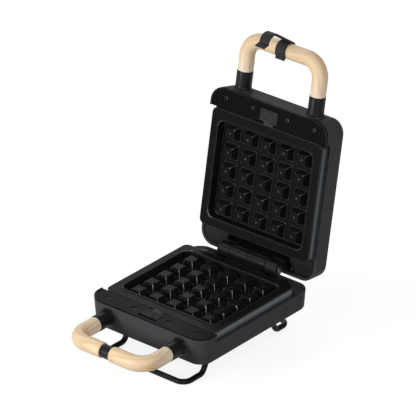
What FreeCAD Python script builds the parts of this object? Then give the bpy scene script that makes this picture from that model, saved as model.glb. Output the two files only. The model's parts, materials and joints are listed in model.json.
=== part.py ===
import FreeCAD, Part
import math
import os
from types import SimpleNamespace

import Sketcher

# A countertop sandwich and waffle maker with a hinged lid, shown open.
#
# Each half is drawn in its own half frame: the origin is at the middle of the
# cooking plate on the parting plane, +X to the right, +Y to the hinge and +Z
# out of the half's mouth, so everything in a half lies below zero. The base
# stands in that frame as it is. The lid is turned over onto the base about Y
# and then swung open about the hinge axis.

# Driving dimensions, millimetres and degrees
SIZES = {
    # Housing shells
    "shell_width": 150.0,
    "shell_front": 86.0,  # plate centre to the front face
    "shell_back": 86.0,  # plate centre to the back face
    "shell_corner": 17.0,
    "shell_draft": 4.0,  # degrees
    "shell_wall": 2.5,
    "shell_floor": 2.5,
    "shell_edge": 3.0,  # round of the outer edge
    "side_rim_drop": 11.0,  # parting plane to the rim at the sides and back
    "foot_height": 27.3,  # floor to the underside of the base
    "boss_radius": 3.5,
    "cut_overrun": 5.0,
    # Front bars
    "bar_depth": 22.0,
    "bar_top_drop": 0.7,  # parting plane to the raised edge
    "bar_thickness": 2.4,
    "bar_core": 2.0,  # thicker middle, inside the shell's wall
    "bar_core_gap": 0.4,
    "bar_edge_width": 1.7,
    "bar_edge_height": 0.8,
    "bar_screw_inner": 22.5,  # from the middle
    "bar_screw_side": 18.5,  # shell's side to the outer screws
    "bar_screw_front": 11.0,  # shell's front to the screws
    "screw_recess_radius": 3.3,
    "screw_recess_depth": 2.2,
    # Screws
    "screw_head_radius": 2.8,
    "screw_head_height": 1.8,
    "screw_radius": 1.5,
    "screw_clearance": 0.12,
    "bar_screw_length": 13.0,
    "tray_screw_length": 8.0,
    # Cooking plates
    "plate_side_gap": 4.0,  # shell's side to the plate's edge
    "plate_front_gap": 1.0,  # bar to the plate's edge
    "plate_hinge_gap": 15.7,  # plate's edge to the hinge axis
    "plate_corner": 6.0,
    "plate_flange": 2.0,
    "plate_edge": 0.8,
    "flange_drop": 1.2,  # parting plane to the flange
    "plate_floor": 2.0,
    "bead_height": 0.8,
    "bead_width": 2.4,
    "well_side_margin": 10.0,  # plate's edge to the well
    "well_back_margin": 10.5,
    "well_corner": 7.0,
    "well_wall": 2.5,
    "well_draft": 8.0,  # degrees
    "peg_side_margin": 15.0,  # well's edge to the middle of the outer pegs
    "peg_end_margin": 10.9,
    "peg_top": 10.3,
    "peg_height": 8.0,
    "peg_draft": 16.5,  # degrees
    "peg_crown": 0.5,  # chamfer of the peg's top edge
    "peg_crown_draft": 45.0,  # degrees
    "peg_top_drop": 1.8,  # parting plane to the peg tops
    "dimple_radius": 1.2,
    "dimple_depth": 0.4,
    "lug_half_width": 5.5,
    "lug_length": 3.0,
    "lug_thickness": 1.2,
    "tab_side_margin": 19.0,  # plate's edge to the middle of a rear tab
    "tab_half_width": 5.0,
    "tab_root_inset": 5.0,  # plate's edge to the tab's root
    "tab_root_thickness": 2.6,
    "tab_drop": 3.0,
    "tab_thickness": 1.4,
    "tab_overhang": 1.4,  # beyond the plate's edge
    "tab_slot_gap": 0.5,
    # Reflector trays, heaters and their supports
    "tray_inset": 0.6,  # tray wall inside the plate's edge
    "tray_wall": 1.0,
    "ledge_under_rim": 1.5,
    "ledge_clearance": 0.5,
    "tray_screw_side": 11.4,  # tray's wall to the screws in its floor
    "tray_screw_front": 13.4,
    "ledge_screw_gap": 6.2,  # hinge's end to the ledge's screws
    "ledge_screw_inset": 7.6,  # shell's back to the same screws
    "heater_radius": 3.25,
    "heater_gap": 0.15,
    "heater_floor_gap": 0.55,
    "heater_side_margin": 26.4,  # tray's wall to the element's axis
    "heater_front_margin": 22.4,
    "heater_back_margin": 19.4,
    "heater_bend": 14.0,
    "heater_end_place": 10.0,
    "heater_end_bend": 6.0,
    "heater_end_margin": 7.4,
    "support_half_width": 5.5,
    "support_half_length": 4.0,
    # Release sliders
    "slider_width": 22.0,
    "slider_length": 12.6,
    "slider_travel": 4.0,
    "slider_gap": 0.4,
    "slider_play": 0.3,
    "slider_cap": 1.0,
    "slider_neck_half_width": 6.0,
    "slider_neck_length": 7.6,
    "slider_top_drop": 0.9,
    "slider_nose": 2.0,  # hold over the plate's lug
    "slider_shoulder_half_width": 11.0,
    "slider_shoulder_length": 9.6,
    "slider_shoulder_thickness": 1.5,
    "slider_leg_half_width": 4.0,
    "slider_leg_length": 6.5,
    "slider_leg_thickness": 3.0,
    "ridge_width": 0.8,
    "ridge_height": 0.5,
    "guide_place": 8.5,
    "guide_thickness": 2.0,
    "spring_radius": 2.4,
    "spring_wire": 0.6,
    # Handles
    "handle_drop": 15.3,  # parting plane to the handle's axis
    "handle_side_inset": 28.5,  # shell's side to the sleeves
    "handle_reach": 54.5,  # shell's front to the grip's axis
    "grip_radius": 8.1,
    "grip_bend": 18.0,
    "grip_straight": 16.9,  # sleeve to the bend
    "sleeve_radius": 8.4,
    "sleeve_flare_radius": 10.2,
    "sleeve_flare_length": 2.4,
    "sleeve_seat": 0.4,  # seat proud of the shell's front
    "seat_boss": 2.0,  # the same seat inside the shell's wall
    "handle_screw_radius": 2.0,
    "handle_screw_head_radius": 3.5,
    "handle_screw_head_height": 2.6,
    "handle_screw_bite": 13.0,
    "ring_radius": 7.0,
    "ring_width": 12.2,
    "dowel_radius": 3.0,
    "dowel_bite": 13.0,
    # Latch on the lid's handle
    "latch_width": 11.4,
    "latch_thickness": 2.0,
    "latch_clearance": 0.08,
    "latch_span": 205.0,  # degrees of the handle that the clip goes round
    "latch_grasp": 40.0,  # degrees of that past the strap
    "latch_hook_span": 115.0,  # degrees of the ring that the hook goes round
    "latch_tip": 7.0,
    "latch_flare": 69.0,  # degrees that the tip turns outwards
    "latch_lip": 1.6,
    "latch_open_angle": 25.0,  # degrees away from the hooked place
    # Hinge
    "hinge_inset": 8.3,  # shell's back to the hinge axis
    "hinge_radius": 6.5,
    "hinge_half_length": 38.0,
    "knuckle_length": 14.6,  # outer knuckles
    "knuckle_gap": 0.35,
    "pin_radius": 2.5,
    "pin_clearance": 0.05,
    "pin_head_radius": 3.8,
    "pin_head_height": 1.2,
    "bracket_thickness": 3.6,
    "bracket_lead": 0.4,  # upright ahead of the knuckles
    "bracket_foot": 10.0,
    "bracket_foot_thickness": 3.0,
    "bracket_top_drop": 7.2,
    "bracket_boss_height": 3.0,
    "bracket_screw_place": 26.0,
    "open_angle": 100.3,  # degrees
    # Wire feet and their clamps
    "wire_radius": 2.9,
    "wire_side_inset": 24.1,  # shell's side to the wires
    "wire_front_inset": 0.8,  # shell's front to the front run
    "wire_back_inset": 9.0,  # shell's back to the rear run
    "wire_front_leg": 27.2,  # a run to where the wire rises
    "wire_back_leg": 20.0,
    "wire_slope": 12.0,
    "wire_tail": 24.0,
    "wire_corner": 10.0,
    "wire_bend": 7.0,
    "wire_gap": 0.1,
    "clamp_outer": 6.0,  # beyond the wire
    "clamp_inner": 14.0,  # inside the wire
    "clamp_half_length": 5.0,
    "clamp_thickness": 7.2,
    "clamp_screw_place": 9.0,
    "clamp_boss_height": 6.0,
    # Electrical pieces and the lead's gland
    "thermostat_radius": 9.0,
    "thermostat_height": 5.0,
    "thermostat_cap_radius": 6.0,
    "thermostat_cap_height": 2.5,
    "thermostat_gap": 1.8,  # to the shell's floor
    "terminal_width": 6.3,
    "terminal_thickness": 0.8,
    "terminal_length": 8.0,
    "fuse_radius": 2.0,
    "fuse_length": 12.0,
    "fuse_forward": 27.0,
    "fuse_strap_width": 4.0,
    "fuse_strap_thickness": 0.8,
    "block_length": 30.0,
    "block_width": 11.0,
    "block_height": 8.0,
    "block_shift": 12.0,  # from the gland towards the middle
    "block_inset": 41.0,  # shell's back to the block
    "block_hole_radius": 1.6,
    "gland_side_inset": 21.0,  # shell's side to the gland
    "gland_height": 7.0,  # shell's floor to the gland's axis
    "gland_radius": 5.0,
    "gland_bore": 3.2,
    "gland_flange_radius": 6.6,
    "gland_flange": 1.8,
    "gland_length": 12.0,
    "gland_clearance": 0.2,
    "gland_nut": 3.0,
    "gland_nut_radius": 5.9,
    "gland_nut_gap": 0.3,
    # Vents in the underside
    "vent_half_width": 1.5,
    "vent_half_length": 17.0,
    "vent_pitch": 9.0,
}
PEG_ROW_COUNT = 5
VENT_COUNT = 6
RIDGE_COUNT = 7
HALF_TURN = 180
QUARTER_TURN = 90

doc = FreeCAD.newDocument("sandwich_and_waffle_maker")
sheet = doc.addObject("Spreadsheet::Sheet", "Sizes")
for row, (alias, number) in enumerate(SIZES.items(), start=1):
    sheet.set("A%d" % row, alias)
    sheet.set("B%d" % row, str(number))
    sheet.setAlias("B%d" % row, alias)
doc.recompute()


class Size:
    """A length from the sheet: its value, and the formula that properties are bound to."""

    def __init__(self, value, formula):
        self.value = float(value)
        self.formula = formula

    def joined(self, value, pattern, other):
        return Size(value, pattern % (self.formula, size_of(other).formula))

    def __add__(self, other):
        return self.joined(self.value + size_of(other).value, "(%s + %s)", other)

    def __sub__(self, other):
        return self.joined(self.value - size_of(other).value, "(%s - %s)", other)

    def __mul__(self, other):
        return self.joined(self.value * size_of(other).value, "(%s * %s)", other)

    def __truediv__(self, other):
        return self.joined(self.value / size_of(other).value, "(%s / %s)", other)

    def __neg__(self):
        return Size(-self.value, "(-%s)" % self.formula)


def size_of(value):
    """A plain number or a Size, as a Size."""
    return value if isinstance(value, Size) else Size(value, repr(value))


def tangent(angle):
    """The tangent of an angle in degrees."""
    return Size(math.tan(math.radians(angle.value)), "tan(%s)" % angle.formula)


S = SimpleNamespace(**{name: Size(sheet.get(name), "Sizes." + name) for name in SIZES})

# Places worked out from the driving dimensions, as distances from the plate's centre
HALF_WIDTH = S.shell_width / 2
HINGE_BACK = S.shell_back - S.hinge_inset
PLATE_HALF_WIDTH = HALF_WIDTH - S.plate_side_gap
PLATE_FRONT = S.shell_front - S.bar_depth - S.plate_front_gap
PLATE_BACK = HINGE_BACK - S.plate_hinge_gap
WELL_HALF_WIDTH = PLATE_HALF_WIDTH - S.well_side_margin
WELL_HALF_LENGTH = PLATE_BACK - S.well_back_margin
PEG_REACH_ACROSS = WELL_HALF_WIDTH - S.peg_side_margin
PEG_REACH_ALONG = WELL_HALF_LENGTH - S.peg_end_margin
TAB_PLACE = PLATE_HALF_WIDTH - S.tab_side_margin
TAB_ROOT = PLATE_BACK - S.tab_root_inset
TAB_REACH = PLATE_BACK + S.tab_overhang
TRAY_HALF_WIDTH = PLATE_HALF_WIDTH - S.tray_inset
TRAY_FRONT = -(PLATE_FRONT - S.tray_inset)
TRAY_BACK = PLATE_BACK - S.tray_inset
TRAY_CORNER = S.plate_corner - S.tray_inset
BAR_BACK = -(S.shell_front - S.bar_depth)
BAR_SCREW_LINE = -(S.shell_front - S.bar_screw_front)
SEAT = -(S.shell_front + S.sleeve_seat)
INNER_SEAT = -(S.shell_front - S.shell_wall - S.seat_boss)
LEG_PLACE = HALF_WIDTH - S.handle_side_inset
HANDLE_FRONT = S.shell_front + S.handle_reach
GRIP_START = HANDLE_FRONT - S.grip_bend - S.grip_straight
GLAND_PLACE = HALF_WIDTH - S.gland_side_inset
WIRE_PLACE = HALF_WIDTH - S.wire_side_inset
WIRE_FRONT = S.shell_front - S.wire_front_inset
WIRE_BACK = S.shell_back - S.wire_back_inset
WIRE_FRONT_RISE = WIRE_FRONT - S.wire_front_leg
WIRE_BACK_RISE = WIRE_BACK - S.wire_back_leg
SCREW_HOLE = S.screw_radius + S.screw_clearance

# Heights from the parting plane, in a half's own frame
BAR_BOTTOM = -(S.bar_top_drop + S.bar_thickness)
BAR_SURFACE = -(S.bar_top_drop + S.bar_edge_height)
BAR_CORE_BOTTOM = BAR_BOTTOM - S.bar_core
CAP_FIELD = -(S.slider_top_drop + S.ridge_height)
CAP_BOTTOM = CAP_FIELD - S.slider_cap
SIDE_RIM = -S.side_rim_drop
LEDGE_TOP = SIDE_RIM - S.ledge_under_rim
FLANGE_TOP = -S.flange_drop
FLANGE_BOTTOM = -(S.flange_drop + S.plate_flange)
LUG_TOP = FLANGE_BOTTOM + S.lug_thickness
BEAD_TOP = -(S.flange_drop - S.bead_height)
PEG_TOP = -S.peg_top_drop
WELL_FLOOR = PEG_TOP - S.peg_height
PLATE_BOTTOM = WELL_FLOOR - S.plate_floor
HEATER_AXIS = PLATE_BOTTOM - S.heater_gap - S.heater_radius
TRAY_INSIDE = HEATER_AXIS - S.heater_radius - S.heater_floor_gap
TRAY_BOTTOM = TRAY_INSIDE - S.tray_wall
SHELL_INSIDE = TRAY_BOTTOM - S.thermostat_height - S.thermostat_cap_height - S.thermostat_gap
SHELL_BOTTOM = SHELL_INSIDE - S.shell_floor
GLAND_AXIS = SHELL_INSIDE + S.gland_height
HANDLE_AXIS = -S.handle_drop
PART_HEIGHT = S.foot_height - SHELL_BOTTOM
SUBPARTS = []


# Placing the two halves
def base_placement():
    """The base stands on its feet, with the parting plane level."""
    return FreeCAD.Placement(FreeCAD.Vector(0, 0, PART_HEIGHT.value), FreeCAD.Rotation())


def lid_placement():
    """The lid is turned over onto the base, then swung open about the hinge axis."""
    over = FreeCAD.Placement(FreeCAD.Vector(), FreeCAD.Rotation(FreeCAD.Vector(0, 1, 0), HALF_TURN))
    closed = base_placement().multiply(over)
    return swing(HINGE_BACK, PART_HEIGHT, S.open_angle).multiply(closed)


def swing(along, height, angle):
    """A turn by an angle about the line parallel to X at the given place, the lid's front upwards."""
    pivot = FreeCAD.Vector(0, along.value, height.value)
    turn = FreeCAD.Rotation(FreeCAD.Vector(1, 0, 0), -angle.value)
    return FreeCAD.Placement(FreeCAD.Vector(), turn, pivot)


BASE = SimpleNamespace(name="base", level="lower", placement=base_placement(), turned=1)
LID = SimpleNamespace(name="lid", level="upper", placement=lid_placement(), turned=-1)


def keep(piece, node, placement):
    """Names a finished sub-part and puts it in its place."""
    piece.Label = node
    piece.Placement = placement
    SUBPARTS.append(piece)
    return piece


# Part primitives bound to the sheet
def bind(target, **sizes):
    for name, size in sizes.items():
        target.setExpression(name, size_of(size).formula)


def move(target, x, y, z):
    for axis, size in zip("xyz", (x, y, z)):
        target.setExpression("Placement.Base." + axis, size_of(size).formula)


def box(low, high):
    """A box between two corners."""
    solid = doc.addObject("Part::Box", "box")
    spans = [size_of(b) - size_of(a) for a, b in zip(low, high)]
    bind(solid, Length=spans[0], Width=spans[1], Height=spans[2])
    move(solid, *low)
    return solid


AXES = {
    "X": FreeCAD.Rotation(FreeCAD.Vector(0, 1, 0), QUARTER_TURN),
    "Y": FreeCAD.Rotation(FreeCAD.Vector(1, 0, 0), -QUARTER_TURN),
    "Z": FreeCAD.Rotation(),
}


def rod(start, axis, length, radius):
    """A cylinder from a start point along +X, +Y or +Z."""
    solid = doc.addObject("Part::Cylinder", "rod")
    solid.Placement = FreeCAD.Placement(FreeCAD.Vector(), AXES[axis])
    bind(solid, Radius=radius, Height=length)
    move(solid, *start)
    return solid


def fuse(*pieces):
    if len(pieces) == 1:
        return pieces[0]
    whole = doc.addObject("Part::MultiFuse", "fuse")
    whole.Shapes = list(pieces)
    return whole


def cut(piece, *tools):
    rest = doc.addObject("Part::Cut", "cut")
    rest.Base = piece
    rest.Tool = fuse(*tools)
    return rest


def group(*solids):
    """Separate solids in one node."""
    together = doc.addObject("Part::Compound", "group")
    together.Links = list(solids)
    return together


def screw(top, axis, head_height, head_radius, length, radius, into):
    """A screw whose head's outer face is at top; into is +1 or -1 along the axis."""
    place = "XYZ".index(axis)
    head_start = list(top)
    shank_start = list(top)
    if into > 0:
        shank_start[place] = size_of(top[place]) + head_height
    else:
        head_start[place] = size_of(top[place]) - head_height
        shank_start[place] = size_of(top[place]) - head_height - length
    head = rod(head_start, axis, head_height, head_radius)
    shank = rod(shank_start, axis, length, radius)
    return fuse(head, shank)


# Tubes along a path of straight runs joined by tangent arcs
def rounded_path(points, radii):
    """A wire through the points, with an arc of the given radius at each inner point."""
    corners = [FreeCAD.Vector(*[size_of(c).value for c in point]) for point in points]
    edges = []
    start = corners[0]
    for before, corner, after, radius in zip(corners, corners[1:], corners[2:], radii):
        inward = (before - corner).normalize()
        outward = (after - corner).normalize()
        half = inward.getAngle(outward) / 2
        run = radius.value / math.tan(half)
        first = corner + inward * run
        last = corner + outward * run
        middle_line = (inward + outward).normalize()
        middle = corner + middle_line * (radius.value / math.sin(half) - radius.value)
        edges.append(Part.LineSegment(start, first).toShape())
        edges.append(Part.Arc(first, middle, last).toShape())
        start = last
    edges.append(Part.LineSegment(start, corners[-1]).toShape())
    return Part.Wire(edges)


def tube(points, radii, radius):
    """A round bar swept along a rounded path."""
    spine = doc.addObject("Part::Feature", "path")
    spine.Shape = rounded_path(points, radii)
    section = doc.addObject("Part::Circle", "section")
    bind(section, Radius=radius)
    start = spine.Shape.Edges[0]
    heading = start.tangentAt(start.FirstParameter)
    upright = FreeCAD.Rotation(FreeCAD.Vector(0, 0, 1), heading)
    section.Placement = FreeCAD.Placement(start.valueAt(start.FirstParameter), upright)
    bar = doc.addObject("Part::Sweep", "tube")
    bar.Sections = [section]
    bar.Spine = (spine, ["Edge%d" % (n + 1) for n in range(len(spine.Shape.Edges))])
    bar.Solid = True
    bar.Frenet = False
    return bar


# Sketches and features of a body
def sketch_on(body, role, height):
    """A sketch on one of the body's own planes, raised along the plane's normal."""
    plane = next(p for p in body.Origin.OriginFeatures if p.Role == role)
    sketch = body.newObject("Sketcher::SketchObject", "sketch")
    sketch.AttachmentSupport = [(plane, "")]
    sketch.MapMode = "FlatFace"
    sketch.setExpression("AttachmentOffset.Base.z", size_of(height).formula)
    return sketch


def constrain(sketch, size, kind, *points):
    """Adds a dimension to a sketch and binds it to the sheet."""
    number = sketch.addConstraint(Sketcher.Constraint(kind, *points, size.value))
    sketch.setExpression("Constraints[%d]" % number, size.formula)


def pin(sketch, kind, size, element, point):
    """Holds a point of a sketch at a signed distance from its origin."""
    if size.value < 0:
        constrain(sketch, -size, kind, element, point, -1, 1)
    else:
        constrain(sketch, size, kind, -1, 1, element, point)


def circle(sketch, x, y, radius):
    centre = FreeCAD.Vector(size_of(x).value, size_of(y).value, 0)
    round_line = Part.Circle(centre, FreeCAD.Vector(0, 0, 1), radius.value)
    number = sketch.addGeometry(round_line, False)
    constrain(sketch, radius, "Radius", number)
    pin(sketch, "DistanceX", size_of(x), number, 3)
    pin(sketch, "DistanceY", size_of(y), number, 3)


def rectangle(sketch, low, high, corner=None):
    """A rectangle between two corners of the sketch, with rounded corners if a radius is given."""
    left, bottom = [size_of(c) for c in low]
    right, top = [size_of(c) for c in high]
    inset = corner.value if corner else 0
    x0, x1, y0, y1 = left.value, right.value, bottom.value, top.value
    runs = [
        ((x0 + inset, y0), (x1 - inset, y0)),
        ((x1, y0 + inset), (x1, y1 - inset)),
        ((x1 - inset, y1), (x0 + inset, y1)),
        ((x0, y1 - inset), (x0, y0 + inset)),
    ]
    sides = [
        sketch.addGeometry(Part.LineSegment(FreeCAD.Vector(*a, 0), FreeCAD.Vector(*b, 0)), False)
        for a, b in runs
    ]
    for side, direction in zip(sides, ("Horizontal", "Vertical", "Horizontal", "Vertical")):
        sketch.addConstraint(Sketcher.Constraint(direction, side))
    if corner:
        round_corners(sketch, sides, (x0, x1, y0, y1), corner)
    else:
        for side, following in zip(sides, sides[1:] + sides[:1]):
            sketch.addConstraint(Sketcher.Constraint("Coincident", side, 2, following, 1))
    pin(sketch, "DistanceX", left, sides[3], 1)
    pin(sketch, "DistanceX", right, sides[1], 1)
    pin(sketch, "DistanceY", bottom, sides[0], 1)
    pin(sketch, "DistanceY", top, sides[2], 1)


def round_corners(sketch, sides, extent, corner):
    """Joins the four sides of a rectangle with tangent arcs of one radius."""
    x0, x1, y0, y1 = extent
    radius = corner.value
    centres = [(x1 - radius, y0 + radius), (x1 - radius, y1 - radius),
               (x0 + radius, y1 - radius), (x0 + radius, y0 + radius)]
    arcs = []
    for quarter, centre in enumerate(centres):
        whole = Part.Circle(FreeCAD.Vector(*centre, 0), FreeCAD.Vector(0, 0, 1), radius)
        first = (quarter - 1) * math.pi / 2
        arc = sketch.addGeometry(Part.ArcOfCircle(whole, first, first + math.pi / 2), False)
        following = sides[(quarter + 1) % len(sides)]
        sketch.addConstraint(Sketcher.Constraint("Tangent", sides[quarter], 2, arc, 1))
        sketch.addConstraint(Sketcher.Constraint("Tangent", arc, 2, following, 1))
        arcs.append(arc)
    for arc in arcs[1:]:
        sketch.addConstraint(Sketcher.Constraint("Equal", arcs[0], arc))
    constrain(sketch, corner, "Radius", arcs[0])


def feature(body, kind, sketch, length, taper=None, down=False):
    """A Pad or a Pocket of a sketch; down turns it against its usual direction."""
    made = body.newObject("PartDesign::" + kind, kind.lower())
    made.Profile = sketch
    bind(made, Length=length)
    if taper is not None:
        bind(made, TaperAngle=taper)
    made.Reversed = down
    doc.recompute()
    return made


def pad(body, sketch, length, taper=None, down=False):
    return feature(body, "Pad", sketch, length, taper, down)


def pocket(body, sketch, length, taper=None, down=False):
    """Cuts a sketch out of the body, and checks that it took something away."""
    before = body.Shape.Volume
    made = feature(body, "Pocket", sketch, length, taper, down)
    if not body.Shape.Volume < before:
        raise RuntimeError("a pocket of %s cuts nothing" % body.Name)
    return made


def round_edges(body, chosen, radius):
    """Rounds the edges of the body whose every point passes the test."""
    base = body.Tip
    names = [
        "Edge%d" % (n + 1)
        for n, edge in enumerate(base.Shape.Edges)
        if all(chosen(v.Point) for v in edge.Vertexes)
    ]
    made = body.newObject("PartDesign::Fillet", "fillet")
    made.Base = (base, names)
    bind(made, Radius=radius)
    doc.recompute()
    return made


def at_height(size):
    """A test for points that lie at one height."""
    return lambda point: abs(point.z - size.value) < Part.Precision.approximation()


def new_body(name):
    return doc.addObject("PartDesign::Body", name)


# Housing shells
def housing_shell(half):
    """A drafted open box: high rim under the front bar, low rim round the plate."""
    body = new_body(half.name + "_shell")
    half_width = HALF_WIDTH
    outline = sketch_on(body, "XY_Plane", BAR_BOTTOM)
    rectangle(outline, (-half_width, -S.shell_front), (half_width, S.shell_back), S.shell_corner)
    pad(body, outline, BAR_BOTTOM - SHELL_BOTTOM, -S.shell_draft, down=True)
    round_edges(body, at_height(SHELL_BOTTOM), S.shell_edge)
    step = sketch_on(body, "XY_Plane", BAR_BOTTOM)
    beyond = half_width + S.cut_overrun
    rectangle(step, (-beyond, BAR_BACK), (beyond, S.shell_back + S.cut_overrun))
    pocket(body, step, BAR_BOTTOM - SIDE_RIM)
    cavity = sketch_on(body, "XY_Plane", BAR_BOTTOM)
    inside = half_width - S.shell_wall
    rectangle(
        cavity,
        (-inside, -(S.shell_front - S.shell_wall)),
        (inside, S.shell_back - S.shell_wall),
        S.shell_corner - S.shell_wall,
    )
    pocket(body, cavity, BAR_BOTTOM - SHELL_INSIDE, -S.shell_draft)
    shell_bosses(body)
    shell_handle_seats(body)
    if half is BASE:
        shell_base_openings(body)
    return keep(body, half.name + "_shell", half.placement)


def shell_bosses(body):
    """Screw bosses for the bar, the tray and the hinge bracket, and the slider's guides."""
    bosses = [
        ([(x, BAR_SCREW_LINE) for x in bar_screw_row()], BAR_CORE_BOTTOM),
        (tray_screw_places(), TRAY_BOTTOM),
        (ledge_screw_places(), LEDGE_TOP - S.tray_wall),
        (bracket_screw_places(), SHELL_INSIDE + S.bracket_boss_height),
    ]
    for places, top in bosses:
        rings = sketch_on(body, "XY_Plane", SHELL_INSIDE)
        for x, y in places:
            circle(rings, x, y, S.boss_radius)
            circle(rings, x, y, SCREW_HOLE)
        pad(body, rings, top - SHELL_INSIDE)
    guides = sketch_on(body, "XY_Plane", SHELL_INSIDE)
    for side in (-1, 1):
        near, far = S.guide_place, S.guide_place + S.guide_thickness
        low, high = (near, far) if side > 0 else (-far, -near)
        rectangle(guides, (low, slider_front() - S.slider_travel), (high, slider_back()))
    guide_top = slider_shoulder_bottom() - S.slider_gap
    pad(body, guides, guide_top - SHELL_INSIDE)


def shell_handle_seats(body):
    """Flat round seats for the handle's sleeves, each with a hole for its screw."""
    seats = sketch_on(body, "XZ_Plane", -SEAT)
    for x in (-LEG_PLACE, LEG_PLACE):
        circle(seats, x, HANDLE_AXIS, S.sleeve_flare_radius)
    pad(body, seats, INNER_SEAT - SEAT, down=True)
    holes = sketch_on(body, "XZ_Plane", -SEAT)
    for x in (-LEG_PLACE, LEG_PLACE):
        circle(holes, x, HANDLE_AXIS, S.handle_screw_radius + S.screw_clearance)
    pocket(body, holes, INNER_SEAT - SEAT + S.cut_overrun)


def shell_base_openings(body):
    """The base's clamp bosses, vents and lead opening."""
    places = clamp_screw_places()
    rings = sketch_on(body, "XY_Plane", SHELL_INSIDE)
    holes = sketch_on(body, "XY_Plane", SHELL_INSIDE)
    for x, y in places:
        circle(rings, x, y, S.boss_radius)
        circle(rings, x, y, SCREW_HOLE)
        circle(holes, x, y, SCREW_HOLE)
    pad(body, rings, S.clamp_boss_height)
    pocket(body, holes, S.shell_floor + S.cut_overrun)
    vent = sketch_on(body, "XY_Plane", SHELL_INSIDE)
    first = -S.vent_pitch * (VENT_COUNT - 1) / 2
    rectangle(
        vent,
        (first - S.vent_half_width, -S.vent_half_length),
        (first + S.vent_half_width, S.vent_half_length),
    )
    slot = pocket(body, vent, S.shell_floor + S.cut_overrun)
    row = body.newObject("PartDesign::LinearPattern", "vents")
    row.Originals = [slot]
    row.Direction = (vent, ["H_Axis"])
    bind(row, Length=S.vent_pitch * (VENT_COUNT - 1))
    row.Occurrences = VENT_COUNT
    body.Tip = row
    doc.recompute()
    lead = sketch_on(body, "XZ_Plane", -(S.shell_back + S.cut_overrun))
    circle(lead, -GLAND_PLACE, GLAND_AXIS, S.gland_radius + S.gland_clearance)
    pocket(body, lead, S.cut_overrun * 2 + S.shell_wall, down=True)


# Front bars and their screws
def bar_screw_row():
    outer = HALF_WIDTH - S.bar_screw_side
    return (-outer, -S.bar_screw_inner, S.bar_screw_inner, outer)


def front_bar(half):
    """The bar across the front of a half, with a raised edge, screw recesses and the slider's slot."""
    body = new_body(half.name + "_front_bar")
    half_width = HALF_WIDTH
    outline = sketch_on(body, "XY_Plane", BAR_BOTTOM)
    rectangle(outline, (-half_width, -S.shell_front), (half_width, S.shell_back), S.shell_corner)
    pad(body, outline, S.bar_thickness)
    round_edges(body, at_height(-S.bar_top_drop), S.bar_edge_height)
    core = sketch_on(body, "XY_Plane", BAR_BOTTOM)
    margin = S.shell_wall + S.bar_core_gap
    rectangle(
        core,
        (-(half_width - margin), -(S.shell_front - margin)),
        (half_width - margin, S.shell_back - margin),
        S.shell_corner - margin,
    )
    pad(body, core, S.bar_core, down=True)
    rear = sketch_on(body, "XY_Plane", -S.bar_top_drop)
    beyond = half_width + S.cut_overrun
    rectangle(rear, (-beyond, BAR_BACK), (beyond, S.shell_back + S.cut_overrun))
    pocket(body, rear, S.bar_thickness + S.bar_core + S.cut_overrun)
    field = sketch_on(body, "XY_Plane", -S.bar_top_drop)
    inside = half_width - S.bar_edge_width
    rectangle(
        field,
        (-inside, -(S.shell_front - S.bar_edge_width)),
        (inside, S.shell_back),
        S.shell_corner - S.bar_edge_width,
    )
    pocket(body, field, S.bar_edge_height)
    for radius, depth in (
        (S.screw_recess_radius, S.screw_recess_depth),
        (SCREW_HOLE, S.bar_thickness + S.bar_core),
    ):
        holes = sketch_on(body, "XY_Plane", BAR_SURFACE)
        for x in bar_screw_row():
            circle(holes, x, BAR_SCREW_LINE, radius)
        pocket(body, holes, depth)
    bay = sketch_on(body, "XY_Plane", -S.bar_top_drop)
    slot = sketch_on(body, "XY_Plane", -S.bar_top_drop)
    for sketch, half_span, length in (
        (bay, S.slider_width / 2, S.slider_length),
        (slot, S.slider_neck_half_width, S.slider_neck_length),
    ):
        edge = half_span + S.slider_gap
        front = slider_back() - length - S.slider_travel - S.slider_gap
        rectangle(sketch, (-edge, front), (edge, BAR_BACK + S.cut_overrun))
    pocket(body, bay, -S.bar_top_drop - CAP_BOTTOM + S.slider_play)
    pocket(body, slot, S.bar_thickness + S.bar_core + S.cut_overrun)
    return keep(body, half.name + "_front_bar", half.placement)


def bar_screws(half):
    """Four screws that hold the front bar to the shell's bosses."""
    head_top = BAR_SURFACE - S.screw_recess_depth + S.screw_head_height
    screws = [
        screw((x, BAR_SCREW_LINE, head_top), "Z", S.screw_head_height, S.screw_head_radius,
              S.bar_screw_length, S.screw_radius, into=-1)
        for x in bar_screw_row()
    ]
    return keep(group(*screws), half.name + "_bar_screws", half.placement)


# Cooking plates
def cooking_plate(half):
    """A cast plate: flange, well with a raised bead round it, and rows of square pegs."""
    body = new_body(half.level + "_plate")
    half_width = PLATE_HALF_WIDTH
    flange = sketch_on(body, "XY_Plane", FLANGE_BOTTOM)
    rectangle(flange, (-half_width, -PLATE_FRONT), (half_width, PLATE_BACK), S.plate_corner)
    pad(body, flange, S.plate_flange)
    round_edges(body, at_height(FLANGE_TOP), S.plate_edge)
    bead = sketch_on(body, "XY_Plane", FLANGE_TOP)
    well_rectangle(bead, S.bead_width)
    pad(body, bead, S.bead_height)
    round_edges(body, at_height(BEAD_TOP), S.bead_height / 2)
    bowl = sketch_on(body, "XY_Plane", FLANGE_BOTTOM)
    well_rectangle(bowl, S.well_wall)
    pad(body, bowl, FLANGE_BOTTOM - PLATE_BOTTOM, -S.well_draft, down=True)
    well = sketch_on(body, "XY_Plane", BEAD_TOP)
    well_rectangle(well, None)
    pocket(body, well, BEAD_TOP - WELL_FLOOR, -S.well_draft)
    plate_pegs(body)
    plate_lugs(body)
    return keep(body, half.level + "_plate", half.placement)


def well_rectangle(sketch, margin):
    """The well's outline, or one with a margin round it."""
    across, along, corner = WELL_HALF_WIDTH, WELL_HALF_LENGTH, S.well_corner
    if margin is not None:
        across, along, corner = across + margin, along + margin, corner + margin
    rectangle(sketch, (-across, -along), (across, along), corner)


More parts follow.
